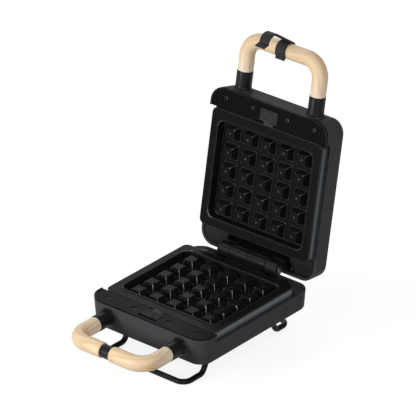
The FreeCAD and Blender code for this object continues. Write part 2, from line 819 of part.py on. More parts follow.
def plate_pegs(body):
    """Tapered square pegs with chamfered tops and a dimple, in rows across and along."""
    across, along = PEG_REACH_ACROSS * 2, PEG_REACH_ALONG * 2
    x, y = -PEG_REACH_ACROSS, -PEG_REACH_ALONG
    stem_height = S.peg_height - S.peg_crown
    shoulder = S.peg_top / 2 + S.peg_crown
    reach = shoulder + tangent(S.peg_draft) * stem_height
    stem = sketch_on(body, "XY_Plane", WELL_FLOOR)
    rectangle(stem, (x - reach, y - reach), (x + reach, y + reach))
    stem_pad = pad(body, stem, stem_height, -S.peg_draft)
    crown = sketch_on(body, "XY_Plane", PEG_TOP - S.peg_crown)
    rectangle(crown, (x - shoulder, y - shoulder), (x + shoulder, y + shoulder))
    crown_pad = pad(body, crown, S.peg_crown, -S.peg_crown_draft)
    mark = sketch_on(body, "XY_Plane", PEG_TOP)
    circle(mark, x, y, S.dimple_radius)
    dimple = pocket(body, mark, S.dimple_depth)
    rows = body.newObject("PartDesign::LinearPattern", "pegs")
    rows.Originals = [stem_pad, crown_pad, dimple]
    rows.Direction = (stem, ["H_Axis"])
    rows.Direction2 = (stem, ["V_Axis"])
    bind(rows, Length=across, Length2=along)
    rows.Occurrences = PEG_ROW_COUNT
    rows.Occurrences2 = PEG_ROW_COUNT
    body.Tip = rows
    doc.recompute()


def plate_lugs(body):
    """The front lug that the slider holds, and two rear tabs for the slots in the tray."""
    lug = sketch_on(body, "XY_Plane", FLANGE_BOTTOM)
    root = S.plate_flange
    rectangle(
        lug,
        (-S.lug_half_width, -(PLATE_FRONT + S.lug_length)),
        (S.lug_half_width, -(PLATE_FRONT - root)),
    )
    pad(body, lug, S.lug_thickness)
    roots = sketch_on(body, "XY_Plane", FLANGE_BOTTOM)
    tips = sketch_on(body, "XY_Plane", FLANGE_BOTTOM - S.tab_drop)
    for middle in (-TAB_PLACE, TAB_PLACE):
        left, right = middle - S.tab_half_width, middle + S.tab_half_width
        rectangle(roots, (left, TAB_ROOT), (right, TAB_ROOT + S.tab_root_thickness))
        rectangle(tips, (left, TAB_ROOT), (right, TAB_REACH))
    pad(body, roots, S.tab_drop, down=True)
    pad(body, tips, S.tab_thickness)


# Reflector trays, heaters and sensors
def reflector_tray(half):
    """A sheet tray under the plate, with a ledge out to the shell's wall."""
    body = new_body(half.level + "_reflector")
    outer = sketch_on(body, "XY_Plane", TRAY_BOTTOM)
    tray_rectangle(outer, size_of(0))
    pad(body, outer, FLANGE_BOTTOM - TRAY_BOTTOM)
    ledge = sketch_on(body, "XY_Plane", LEDGE_TOP - S.tray_wall)
    shrink = tangent(S.shell_draft) * (BAR_BOTTOM - LEDGE_TOP + S.tray_wall)
    margin = S.shell_wall + S.ledge_clearance + shrink
    ledge_half = HALF_WIDTH - margin
    rectangle(
        ledge,
        (-ledge_half, TRAY_FRONT + S.plate_corner),
        (ledge_half, S.shell_back - margin),
        S.shell_corner - margin,
    )
    pad(body, ledge, S.tray_wall)
    inner = sketch_on(body, "XY_Plane", FLANGE_BOTTOM)
    tray_rectangle(inner, S.tray_wall)
    pocket(body, inner, FLANGE_BOTTOM - TRAY_INSIDE)
    notch = sketch_on(body, "XY_Plane", LEDGE_TOP)
    notch_half = S.hinge_half_length + S.pin_head_height + S.ledge_clearance * 2
    rectangle(notch, (-notch_half, TRAY_BACK), (notch_half, S.shell_back + S.cut_overrun))
    pocket(body, notch, S.tray_wall)
    for places, top in ((tray_screw_places(), TRAY_INSIDE), (ledge_screw_places(), LEDGE_TOP)):
        holes = sketch_on(body, "XY_Plane", top)
        for x, y in places:
            circle(holes, x, y, SCREW_HOLE)
        pocket(body, holes, S.tray_wall)
    slots = sketch_on(body, "XY_Plane", FLANGE_BOTTOM - S.tab_drop + S.tab_thickness + S.tab_slot_gap)
    for middle in (-TAB_PLACE, TAB_PLACE):
        reach = S.tab_half_width + S.tab_slot_gap
        rectangle(slots, (middle - reach, TRAY_BACK - S.tray_wall), (middle + reach, TRAY_BACK))
    pocket(body, slots, S.tab_thickness + S.tab_slot_gap * 2)
    return keep(body, half.level + "_reflector", half.placement)


def tray_screw_places():
    x, y = TRAY_HALF_WIDTH - S.tray_screw_side, TRAY_FRONT + S.tray_screw_front
    return [(-x, y), (x, y)]


def ledge_screw_places():
    x, y = S.hinge_half_length + S.ledge_screw_gap, S.shell_back - S.ledge_screw_inset
    return [(-x, y), (x, y)]


def tray_rectangle(sketch, inset):
    rectangle(
        sketch,
        (-(TRAY_HALF_WIDTH - inset), TRAY_FRONT + inset),
        (TRAY_HALF_WIDTH - inset, TRAY_BACK - inset),
        TRAY_CORNER - inset,
    )


def tray_screws(half):
    """Four screws that hold the tray to the shell's posts, two of them on its ledge."""
    screws = [
        screw((x, y, seat + S.screw_head_height), "Z", S.screw_head_height, S.screw_head_radius,
              S.tray_screw_length, S.screw_radius, into=-1)
        for places, seat in ((tray_screw_places(), TRAY_INSIDE), (ledge_screw_places(), LEDGE_TOP))
        for x, y in places
    ]
    return keep(group(*screws), half.level + "_reflector_screws", half.placement)


def heater_side():
    """The element's side runs, from the middle."""
    return TRAY_HALF_WIDTH - S.heater_side_margin


def heater(half):
    """A sheathed element bent into a loop under the plate, both ends at the back."""
    x, back = heater_side(), TRAY_BACK - S.heater_back_margin
    left = [
        (-S.heater_end_place, TRAY_BACK - S.heater_end_margin, HEATER_AXIS),
        (-S.heater_end_place, back, HEATER_AXIS),
        (-x, back, HEATER_AXIS),
        (-x, TRAY_FRONT + S.heater_front_margin, HEATER_AXIS),
    ]
    right = [(-x, y, z) for x, y, z in reversed(left)]
    bends = [S.heater_end_bend, S.heater_bend, S.heater_bend]
    loop = tube(left + right, bends + bends[::-1], S.heater_radius)
    return keep(group(loop), half.level + "_heater", half.placement)


def heater_supports(half):
    """Two cradles that hold the element off the tray's floor."""
    cradles = []
    for x in (-heater_side(), heater_side()):
        block = box(
            (x - S.support_half_width, -S.support_half_length, TRAY_INSIDE),
            (x + S.support_half_width, S.support_half_length, HEATER_AXIS),
        )
        groove = rod(
            (x, -(S.support_half_length + S.cut_overrun), HEATER_AXIS),
            "Y",
            (S.support_half_length + S.cut_overrun) * 2,
            S.heater_radius + S.heater_gap,
        )
        cradles.append(cut(block, groove))
    return keep(group(*cradles), half.level + "_heater_supports", half.placement)


def thermostat(half):
    """A disc thermostat under the tray, with two terminal tabs."""
    body_bottom = TRAY_BOTTOM - S.thermostat_height
    cap_bottom = body_bottom - S.thermostat_cap_height
    disc = rod((0, 0, body_bottom), "Z", S.thermostat_height, S.thermostat_radius)
    cap = rod((0, 0, cap_bottom), "Z", S.thermostat_cap_height, S.thermostat_cap_radius)
    reach = S.thermostat_radius + S.terminal_length
    terminals = box(
        (-reach, -S.terminal_width / 2, body_bottom),
        (reach, S.terminal_width / 2, body_bottom + S.terminal_thickness),
    )
    return keep(fuse(disc, cap, terminals), half.level + "_thermostat", half.placement)


def thermal_fuse():
    """A cut-out fuse strapped under the lower tray."""
    y = -S.fuse_forward
    axis = TRAY_BOTTOM - S.fuse_radius
    capsule = rod((-S.fuse_length / 2, y, axis), "X", S.fuse_length, S.fuse_radius)
    strap_half = S.fuse_radius + S.fuse_strap_width
    low = TRAY_BOTTOM - S.fuse_radius * 2 - S.fuse_strap_thickness
    strap = box(
        (-S.fuse_strap_width / 2, y - strap_half, low),
        (S.fuse_strap_width / 2, y + strap_half, TRAY_BOTTOM),
    )
    return keep(fuse(capsule, strap), "thermal_fuse", BASE.placement)


def terminal_block():
    """A two-way terminal block on the base's floor, beside the lead's gland."""
    x, y = S.block_shift - GLAND_PLACE, S.shell_back - S.block_inset
    half_length, half_width = S.block_length / 2, S.block_width / 2
    block = box(
        (x - half_length, y - half_width, SHELL_INSIDE),
        (x + half_length, y + half_width, SHELL_INSIDE + S.block_height),
    )
    holes = [
        rod(
            (x + shift, y - half_width - S.cut_overrun, SHELL_INSIDE + S.block_height / 2),
            "Y",
            S.block_width + S.cut_overrun * 2,
            S.block_hole_radius,
        )
        for shift in (-S.block_length / 4, S.block_length / 4)
    ]
    return keep(cut(block, *holes), "terminal_block", BASE.placement)


def cord_gland():
    """The bush that the mains lead would pass through, in the base's back wall."""
    x, z = -GLAND_PLACE, GLAND_AXIS
    above = BAR_BOTTOM - GLAND_AXIS - S.gland_flange_radius
    outside = S.shell_back - tangent(S.shell_draft) * above
    barrel = rod((x, outside - S.gland_length, z), "Y", S.gland_length, S.gland_radius)
    flange = rod((x, outside, z), "Y", S.gland_flange, S.gland_flange_radius)
    below = BAR_BOTTOM - GLAND_AXIS + S.gland_nut_radius
    inner = S.shell_back - S.shell_wall - tangent(S.shell_draft) * below - S.gland_nut_gap
    nut = rod((x, inner - S.gland_nut, z), "Y", S.gland_nut, S.gland_nut_radius)
    bore = rod(
        (x, outside - S.gland_length - S.cut_overrun, z),
        "Y",
        S.gland_length + S.gland_flange + S.cut_overrun * 2,
        S.gland_bore,
    )
    return keep(cut(fuse(barrel, flange, nut), bore), "cord_gland", BASE.placement)


# Release sliders
def slider_back():
    """Where the slider's button ends, just clear of the plate's lug."""
    return -(PLATE_FRONT + S.lug_length + S.slider_gap)


def slider_front():
    return slider_back() - S.slider_length


def slider_shoulder_bottom():
    return BAR_CORE_BOTTOM - S.slider_gap - S.slider_shoulder_thickness


def release_slider(half):
    """A ridged cap that holds the plate's lug down until it is drawn to the front."""
    half_width = S.slider_width / 2
    back, front = slider_back(), slider_front()
    top = -S.slider_top_drop
    low = slider_shoulder_bottom()
    cap = box((-half_width, front, CAP_BOTTOM), (half_width, back, CAP_FIELD))
    nose = box(
        (-S.lug_half_width, back - S.slider_nose, LUG_TOP + S.slider_play),
        (S.lug_half_width, back + S.slider_gap + S.slider_nose, top),
    )
    neck = box(
        (-S.slider_neck_half_width, back - S.slider_neck_length, low),
        (S.slider_neck_half_width, back, CAP_FIELD),
    )
    shoulder = box(
        (-S.slider_shoulder_half_width, back - S.slider_shoulder_length, low),
        (S.slider_shoulder_half_width, back, low + S.slider_shoulder_thickness),
    )
    leg = box(
        (-S.slider_leg_half_width, back - S.slider_leg_thickness, low - S.slider_leg_length),
        (S.slider_leg_half_width, back, low),
    )
    pitch = S.slider_length / (RIDGE_COUNT + 1)
    ridges = [
        box(
            (-half_width, front + pitch * (n + 1) - S.ridge_width / 2, CAP_FIELD),
            (half_width, front + pitch * (n + 1) + S.ridge_width / 2, top),
        )
        for n in range(RIDGE_COUNT)
    ]
    whole = fuse(cap, nose, neck, shoulder, leg, *ridges)
    return keep(whole, half.name + "_release_slider", half.placement)


def slider_spring(half):
    """The return spring between the slider's leg and the shell's front wall."""
    leg_front = slider_back() - S.slider_leg_thickness
    axis = slider_shoulder_bottom() - S.slider_leg_length / 2
    draft_there = tangent(S.shell_draft) * (BAR_BOTTOM - axis + S.spring_radius)
    wall = -(S.shell_front - S.shell_wall - draft_there)
    start = wall + S.slider_play
    length = leg_front - S.slider_play - start
    outside = rod((0, start, axis), "Y", length, S.spring_radius)
    inside = rod(
        (0, start - S.cut_overrun, axis),
        "Y",
        length + S.cut_overrun * 2,
        S.spring_radius - S.spring_wire,
    )
    return keep(cut(outside, inside), half.name + "_slider_spring", half.placement)


# Handles
def handle_sleeves(half):
    """Two sleeves between the shell's front and the wooden grip."""
    for side, word in ((-1, "left"), (1, "right")):
        x = LEG_PLACE * side
        length = GRIP_START + SEAT
        sleeve = rod((x, -GRIP_START, HANDLE_AXIS), "Y", length, S.sleeve_radius)
        flare = doc.addObject("Part::Cone", "flare")
        flare.Placement = FreeCAD.Placement(FreeCAD.Vector(), AXES["Y"])
        bind(flare, Radius1=S.sleeve_radius, Radius2=S.sleeve_flare_radius, Height=S.sleeve_flare_length)
        move(flare, x, SEAT - S.sleeve_flare_length, HANDLE_AXIS)
        bore = rod(
            (x, -(GRIP_START + S.cut_overrun), HANDLE_AXIS),
            "Y",
            length + S.cut_overrun * 2,
            S.handle_screw_radius + S.screw_clearance,
        )
        shown = word if half.turned > 0 else {"left": "right", "right": "left"}[word]
        keep(cut(fuse(sleeve, flare), bore), "%s_handle_sleeve_%s" % (half.name, shown), half.placement)


def handle_screws(half):
    """Two long screws from inside the shell, through the sleeves into the grip."""
    head_back = INNER_SEAT + S.handle_screw_head_height
    length = GRIP_START + S.handle_screw_bite + INNER_SEAT
    screws = [
        screw((x, head_back, HANDLE_AXIS), "Y", S.handle_screw_head_height,
              S.handle_screw_head_radius, length, S.handle_screw_radius, into=-1)
        for x in (-LEG_PLACE, LEG_PLACE)
    ]
    return keep(group(*screws), half.name + "_handle_screws", half.placement)


def screw_pilot(x):
    """The hole in a grip's end for the handle's screw."""
    depth = S.handle_screw_bite + S.screw_clearance
    start = (x, -(GRIP_START + depth), HANDLE_AXIS)
    return rod(start, "Y", depth + S.cut_overrun, S.handle_screw_radius + S.screw_clearance)


def lid_grip():
    """The lid's wooden grip, one bent bar."""
    x = LEG_PLACE
    points = [
        (-x, -GRIP_START, HANDLE_AXIS),
        (-x, -HANDLE_FRONT, HANDLE_AXIS),
        (x, -HANDLE_FRONT, HANDLE_AXIS),
        (x, -GRIP_START, HANDLE_AXIS),
    ]
    bar = tube(points, [S.grip_bend, S.grip_bend], S.grip_radius)
    return keep(cut(bar, screw_pilot(-x), screw_pilot(x)), "lid_handle_grip", LID.placement)


def base_grips():
    """The base's wooden grip in two bent halves, joined by a dowel through a narrower ring."""
    ring_half = S.ring_width / 2
    for side, word in ((-1, "left"), (1, "right")):
        x = LEG_PLACE * side
        points = [
            (x, -GRIP_START, HANDLE_AXIS),
            (x, -HANDLE_FRONT, HANDLE_AXIS),
            (ring_half * side, -HANDLE_FRONT, HANDLE_AXIS),
        ]
        bar = tube(points, [S.grip_bend], S.grip_radius)
        keep(cut(bar, screw_pilot(x), dowel_rod(S.screw_clearance)), "base_handle_grip_" + word,
             BASE.placement)
    ring = rod((-ring_half, -HANDLE_FRONT, HANDLE_AXIS), "X", S.ring_width, S.ring_radius)
    keep(cut(ring, dowel_rod(S.screw_clearance)), "base_handle_ring", BASE.placement)
    keep(group(dowel_rod(None)), "base_handle_dowel", BASE.placement)


def dowel_rod(clearance):
    """The dowel, or the hole for it with a clearance all round."""
    half_length = S.ring_width / 2 + S.dowel_bite
    radius = S.dowel_radius
    if clearance is not None:
        half_length = half_length + clearance
        radius = radius + clearance
    return rod((-half_length, -HANDLE_FRONT, HANDLE_AXIS), "X", half_length * 2, radius)


def handle_latch():
    """A clip that turns on the lid's grip, with a strap and a hook for the base's ring.

    It is drawn hooked, about the grip's axis: X to the front, Y up from the base.
    """
    bore = S.grip_radius + S.latch_clearance
    outer = bore + S.latch_thickness
    drop = S.handle_drop * 2
    lip_turn = S.latch_grasp - S.latch_span
    clip = sector(0, outer, S.latch_span, lip_turn)
    hook = sector(-drop, outer, S.latch_hook_span, -S.latch_hook_span)
    strap = box((bore, -drop, 0), (outer, 0, S.latch_width))
    lip = box((bore, 0, 0), (outer + S.latch_lip, S.latch_thickness, S.latch_width))
    spin(lip, lip_turn.value, size_of(0))
    through = S.latch_width + S.cut_overrun * 2
    hollows = [rod((0, height, -S.cut_overrun), "Z", through, bore) for height in (0, -drop)]
    middle = bore + S.latch_thickness / 2
    knee = rod((0, -drop - middle, 0), "Z", S.latch_width, S.latch_thickness / 2)
    tip = box((0, -drop - outer, 0), (S.latch_tip, -drop - bore, S.latch_width))
    spin(tip, HALF_TURN + S.latch_flare.value, -drop - middle)
    for end in (knee, tip):
        spin(end, QUARTER_TURN - S.latch_hook_span.value, -drop)
    latch = fuse(cut(fuse(clip, hook, strap, lip), *hollows), knee, tip)
    axes = FreeCAD.Matrix(0, 0, -1, S.latch_width.value / 2, -1, 0, 0, 0, 0, 1, 0, 0, 0, 0, 0, 1)
    stand = FreeCAD.Placement(axes)
    grip = FreeCAD.Vector(0, -HANDLE_FRONT.value, PART_HEIGHT.value + S.handle_drop.value)
    hooked = FreeCAD.Placement(grip, FreeCAD.Rotation()).multiply(stand)
    turned = swing(-HANDLE_FRONT, PART_HEIGHT + S.handle_drop, S.latch_open_angle).multiply(hooked)
    opened = swing(HINGE_BACK, PART_HEIGHT, S.open_angle).multiply(turned)
    return keep(latch, "handle_latch", opened)


def sector(height, radius, span, start):
    """A pie slice of the latch's width, about the given height."""
    slice_of = doc.addObject("Part::Cylinder", "sector")
    bind(slice_of, Radius=radius, Height=S.latch_width, Angle=span)
    slice_of.Placement = FreeCAD.Placement(
        FreeCAD.Vector(), FreeCAD.Rotation(FreeCAD.Vector(0, 0, 1), start.value)
    )
    move(slice_of, 0, height, 0)
    return slice_of


def spin(solid, angle, height):
    """Turns a primitive of the latch about an axis parallel to its pin, at the given height."""
    doc.recompute()
    centre = FreeCAD.Vector(0, height.value, 0)
    turn = FreeCAD.Rotation(FreeCAD.Vector(0, 0, 1), angle)
    for axis in "xyz":
        solid.setExpression("Placement.Base." + axis, None)
    solid.Placement = FreeCAD.Placement(FreeCAD.Vector(), turn, centre).multiply(solid.Placement)


# Hinge
def bracket_screw_places():
    y = bracket_front() - S.bracket_foot / 2 + S.bracket_thickness / 2
    return [(-S.bracket_screw_place, y), (S.bracket_screw_place, y)]


def bracket_front():
    """The front face of the bracket's upright, just ahead of the knuckles."""
    return HINGE_BACK - S.hinge_radius - S.bracket_lead


def hinge_bracket(half, spans):
    """An upright on a foot inside the shell, carrying knuckles over the given spans of X."""
    half_length = S.hinge_half_length
    front = bracket_front()
    foot_bottom = SHELL_INSIDE + S.bracket_boss_height
    foot_top = foot_bottom + S.bracket_foot_thickness
    foot_front = front + S.bracket_thickness - S.bracket_foot
    back = front + S.bracket_thickness
    foot = box((-half_length, foot_front, foot_bottom), (half_length, back, foot_top))
    upright = box((-half_length, front, foot_bottom), (half_length, back, -S.bracket_top_drop))
    knuckles = []
    for low, high in spans:
        knuckles.append(rod((low, HINGE_BACK, 0), "X", high - low, S.hinge_radius))
        knuckles.append(box((low, front, -S.bracket_top_drop), (high, HINGE_BACK, 0)))
    bore = rod(
        (-(half_length + S.cut_overrun), HINGE_BACK, 0),
        "X",
        (half_length + S.cut_overrun) * 2,
        S.pin_radius + S.pin_clearance,
    )
    holes = [
        rod((x, y, foot_bottom - S.cut_overrun), "Z",
            S.bracket_foot_thickness + S.cut_overrun * 2, SCREW_HOLE)
        for x, y in bracket_screw_places()
    ]
    whole = cut(fuse(foot, upright, *knuckles), bore, *holes)
    return keep(whole, half.name + "_hinge_bracket", half.placement)


def hinge_brackets():
    """Outer knuckles on the base, inner knuckles on the lid."""
    end = S.hinge_half_length
    outer_end = end - S.knuckle_length
    inner_end = outer_end - S.knuckle_gap
    middle = S.knuckle_gap / 2
    hinge_bracket(BASE, [(-end, -outer_end), (outer_end, end)])
    hinge_bracket(LID, [(-inner_end, -middle), (middle, inner_end)])


def bracket_screws(half):
    foot_top = SHELL_INSIDE + S.bracket_boss_height + S.bracket_foot_thickness
    length = S.bracket_foot_thickness + S.bracket_boss_height - S.screw_clearance
    screws = [
        screw((x, y, foot_top + S.screw_head_height), "Z", S.screw_head_height,
              S.screw_head_radius, length, S.screw_radius, into=-1)
        for x, y in bracket_screw_places()
    ]
    return keep(group(*screws), half.name + "_hinge_screws", half.placement)


def hinge_pin():
    """The pin through all the knuckles, with a head at each end."""
    end = S.hinge_half_length
    shaft = rod((-end, HINGE_BACK, 0), "X", end * 2, S.pin_radius)
    heads = [
        rod((-end - S.pin_head_height, HINGE_BACK, 0), "X", S.pin_head_height, S.pin_head_radius),
        rod((end, HINGE_BACK, 0), "X", S.pin_head_height, S.pin_head_radius),
    ]
    return keep(fuse(shaft, *heads), "hinge_pin", BASE.placement)


# Wire feet
WIRE_FLOOR = S.wire_radius - PART_HEIGHT
WIRE_TOP = SHELL_BOTTOM - S.wire_gap - S.wire_radius


def wire_foot(node, run, rise, toward):
    """A wire bent down from under the base, along the floor and across; toward is -1 at the front."""
    x = WIRE_PLACE
    tail_start = (rise - S.wire_slope) * toward
    tail_end = (rise - S.wire_slope - S.wire_tail) * toward
    side = [
        (tail_end, WIRE_TOP),
        (tail_start, WIRE_TOP),
        (rise * toward, WIRE_FLOOR),
        (run * toward, WIRE_FLOOR),
    ]
    points = [(-x, y, z) for y, z in side] + [(x, y, z) for y, z in reversed(side)]
    bends = [S.wire_bend, S.wire_bend, S.wire_corner]
    wire = tube(points, bends + bends[::-1], S.wire_radius)
    return keep(group(wire), node, BASE.placement)


def clamp_middles():
    """Where the clamps sit along the wires' tails, front and back."""
    front = -(WIRE_FRONT_RISE - S.wire_slope - S.wire_tail / 2)
    back = WIRE_BACK_RISE - S.wire_slope - S.wire_tail / 2
    return (front, back)


def clamp_screw_places():
    x = WIRE_PLACE - S.clamp_screw_place
    return [(side, y) for y in clamp_middles() for side in (-x, x)]


def foot_clamps():
    """Four saddles that hold the wires' tails against the base's underside."""
    saddles = []
    for y in clamp_middles():
        for side in (-1, 1):
            inner, outer = WIRE_PLACE - S.clamp_inner, WIRE_PLACE + S.clamp_outer
            low_x, high_x = (inner, outer) if side > 0 else (-outer, -inner)
            bottom = SHELL_BOTTOM - S.clamp_thickness
            block = box(
                (low_x, y - S.clamp_half_length, bottom),
                (high_x, y + S.clamp_half_length, SHELL_BOTTOM),
            )
            reach = S.clamp_half_length + S.cut_overrun
            groove_radius = S.wire_radius + S.wire_gap
            wire_x = WIRE_PLACE * side
            groove = rod((wire_x, y - reach, WIRE_TOP), "Y", reach * 2, groove_radius)
            throat = box(
                (wire_x - groove_radius, y - reach, WIRE_TOP),
                (wire_x + groove_radius, y + reach, SHELL_BOTTOM + S.cut_overrun),
            )
            screw_x = (WIRE_PLACE - S.clamp_screw_place) * side
            hole = rod((screw_x, y, bottom - S.cut_overrun), "Z",
                       S.clamp_thickness + S.cut_overrun * 2, SCREW_HOLE)
            saddles.append(cut(block, groove, throat, hole))
    return keep(group(*saddles), "foot_clamps", BASE.placement)


def clamp_screws():
    """Four screws that hold the saddles to the base."""
    head_bottom = SHELL_BOTTOM - S.clamp_thickness - S.screw_head_height
    length = S.clamp_thickness + S.shell_floor + S.clamp_boss_height - S.screw_clearance
    screws = [
        screw((x, y, head_bottom), "Z", S.screw_head_height, S.screw_head_radius, length,
              S.screw_radius, into=1)
        for x, y in clamp_screw_places()
    ]
    return keep(group(*screws), "foot_clamp_screws", BASE.placement)


# The assembly
for half in (BASE, LID):
    housing_shell(half)
    front_bar(half)
    bar_screws(half)
    cooking_plate(half)
    reflector_tray(half)
    tray_screws(half)
    heater(half)
    heater_supports(half)
    thermostat(half)
    release_slider(half)
    slider_spring(half)
    handle_sleeves(half)
    handle_screws(half)
    bracket_screws(half)
hinge_brackets()
hinge_pin()
lid_grip()
base_grips()
handle_latch()
thermal_fuse()
terminal_block()
cord_gland()
wire_foot("front_wire_foot", WIRE_FRONT, WIRE_FRONT_RISE, -1)
wire_foot("rear_wire_foot", WIRE_BACK, WIRE_BACK_RISE, 1)
foot_clamps()
clamp_screws()
doc.recompute()

# The origin is on the floor, in the middle of the object's box
extent = FreeCAD.BoundBox()
for piece in SUBPARTS:
    extent.add(piece.Shape.optimalBoundingBox())
for piece in SUBPARTS:
    piece.Placement.move(FreeCAD.Vector(-extent.Center.x, -extent.Center.y, -extent.ZMin))
doc.recompute()

failed = [o.Name for o in doc.Objects if "Invalid" in o.State or "Error" in o.State]
failed += [p.Label for p in SUBPARTS if p.Shape.isNull() or not p.Shape.isValid()]
if failed:
    raise RuntimeError("failed: " + ", ".join(failed))

os.makedirs("parts", exist_ok=True)
for piece in SUBPARTS:
    piece.Shape.exportStep("parts/%s.step" % piece.Label)
    print("%-28s %d solids %10.1f mm3" % (piece.Label, len(piece.Shape.Solids), piece.Shape.Volume))
print("origin moved by", extent.Center.x, extent.Center.y, extent.ZMin, "size", extent.XLength,
      extent.YLength, extent.ZLength)
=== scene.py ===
"""Looks of an open sandwich and waffle maker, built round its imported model.

Metres, Z up. The base stands on the floor and the lid leans back on the hinge.
"""
import json
import math
import bmesh
import bpy
from mathutils import Matrix, Vector

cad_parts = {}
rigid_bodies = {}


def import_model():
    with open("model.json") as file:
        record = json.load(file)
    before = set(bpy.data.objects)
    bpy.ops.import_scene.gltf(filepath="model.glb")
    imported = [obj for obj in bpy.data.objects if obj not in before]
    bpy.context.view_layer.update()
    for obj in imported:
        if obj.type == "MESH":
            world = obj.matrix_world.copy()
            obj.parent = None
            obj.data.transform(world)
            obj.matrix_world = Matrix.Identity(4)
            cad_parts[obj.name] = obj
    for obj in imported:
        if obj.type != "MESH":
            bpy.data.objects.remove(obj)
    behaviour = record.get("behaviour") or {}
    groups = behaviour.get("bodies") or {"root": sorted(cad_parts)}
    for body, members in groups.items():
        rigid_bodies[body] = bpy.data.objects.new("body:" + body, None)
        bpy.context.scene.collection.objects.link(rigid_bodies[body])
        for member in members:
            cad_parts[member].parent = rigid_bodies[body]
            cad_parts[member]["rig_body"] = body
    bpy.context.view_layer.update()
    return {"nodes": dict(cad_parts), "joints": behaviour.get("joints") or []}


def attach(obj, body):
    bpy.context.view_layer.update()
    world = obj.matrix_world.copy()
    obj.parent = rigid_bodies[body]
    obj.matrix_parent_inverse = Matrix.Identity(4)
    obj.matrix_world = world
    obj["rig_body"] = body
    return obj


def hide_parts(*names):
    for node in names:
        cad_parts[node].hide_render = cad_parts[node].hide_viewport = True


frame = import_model()

# Sizes of the object in metres, as distances in a half's own frame
MM = 0.001
HINGE_BACK = 77.7 * MM
SHELL_FRONT = 86.0 * MM
HANDLE_DROP = 15.3 * MM
HANDLE_FRONT = 140.5 * MM
LEG_PLACE = 46.5 * MM
GRIP_START = 105.6 * MM
GRIP_RADIUS = 8.1 * MM
GRIP_BEND = 18.0 * MM
SLEEVE_RADIUS = 8.4 * MM
RING_RADIUS = 7.0 * MM
RING_HALF_WIDTH = 6.1 * MM
LATCH_HALF_WIDTH = 5.7 * MM
BAR_SCREW_LINE = 75.0 * MM
BAR_SCREW_INNER = 22.5 * MM
BAR_SCREW_OUTER = 56.5 * MM
BAR_SCREW_SEAT = 3.7 * MM
LEDGE_SCREW_ACROSS = 44.2 * MM
LEDGE_SCREW_BACK = 78.4 * MM
LEDGE_TOP = 12.5 * MM
TRAY_SCREW_ACROSS = 59.0 * MM
TRAY_SCREW_FORWARD = 49.0 * MM
TRAY_INSIDE = 19.0 * MM


def joint(name):
    return next(j for j in frame["joints"] if j["name"] == name)


HINGE = Vector(joint("lid_hinge")["pos_m"])
OPEN_ANGLE = math.radians(joint("lid_hinge")["range_deg"][1])


def half_places():
    """Each half's own frame, plate centre at the parting plane, as a matrix to the shared frame."""
    base = Matrix.Translation((0, HINGE.y - HINGE_BACK, HINGE.z))
    swing = (
        Matrix.Translation(HINGE)
        @ Matrix.Rotation(-OPEN_ANGLE, 4, "X")
        @ Matrix.Translation(-HINGE)
    )
    lid = swing @ base @ Matrix.Rotation(math.pi, 4, "Y")
    return {"base": base, "lid": lid}


PLACES = half_places()


# Node trees and the expressions that fill them
class Term:
    """A socket in an expression: each operator adds a Math node to the socket's tree."""

    def __init__(self, nodes, socket):
        self.nodes = nodes
        self.socket = socket

    def math(self, operation, first, second=0.0):
        return self.nodes.node("ShaderNodeMath", {"operation": operation}, {0: first, 1: second})

    def __add__(self, other):
        return self.math("ADD", self, other)

    def __radd__(self, other):
        return self.math("ADD", other, self)

    def __sub__(self, other):
        return self.math("SUBTRACT", self, other)

    def __rsub__(self, other):
        return self.math("SUBTRACT", other, self)

    def __mul__(self, other):
        return self.math("MULTIPLY", self, other)

    def __rmul__(self, other):
        return self.math("MULTIPLY", other, self)

    def __truediv__(self, other):
        return self.math("DIVIDE", self, other)

    def __rtruediv__(self, other):
        return self.math("DIVIDE", other, self)

    def __pow__(self, other):
        return self.math("POWER", self, other)

    def __rpow__(self, other):
        return self.math("POWER", other, self)

    def fraction(self):
        return self.math("FRACT", self)

    def larger(self, other):
        return self.math("MAXIMUM", self, other)

    def swing(self, amount):
        """The value's departure from one half, which is a noise's mean, times an amount."""
        return (self - 0.5) * amount

    def limited(self):
        return self.nodes.node("ShaderNodeClamp", inputs={"Value": self})

    def beside(self, output):
        """Another output of the same node."""
        return Term(self.nodes, self.socket.node.outputs[output])


def set_stops(ramp, stops):
    """Grey levels of a ramp, as pairs of position and level."""
    while len(ramp.elements) < len(stops):
        ramp.elements.new(1.0)
    for element, (position, level) in zip(ramp.elements, stops):
        element.position = position
        element.color = (level, level, level, 1.0)


class Nodes:
    """A node tree that starts empty and is filled by one method."""

    def __init__(self, tree):
        self.tree = tree
        self.tree.nodes.clear()

    def node(self, kind, settings=None, inputs=None, output=0):
        """Adds a node with its settings and its sockets' values or links, and gives one of its outputs."""
        made = self.tree.nodes.new(kind)
        for name, value in (settings or {}).items():
            if name == "stops":
                set_stops(made.color_ramp, value)
            else:
                setattr(made, name, value)
        for key, value in (inputs or {}).items():
            if isinstance(value, Term):
                self.tree.links.new(value.socket, made.inputs[key])
            else:
                made.inputs[key].default_value = value
        return Term(self, made.outputs[output]) if made.outputs else None


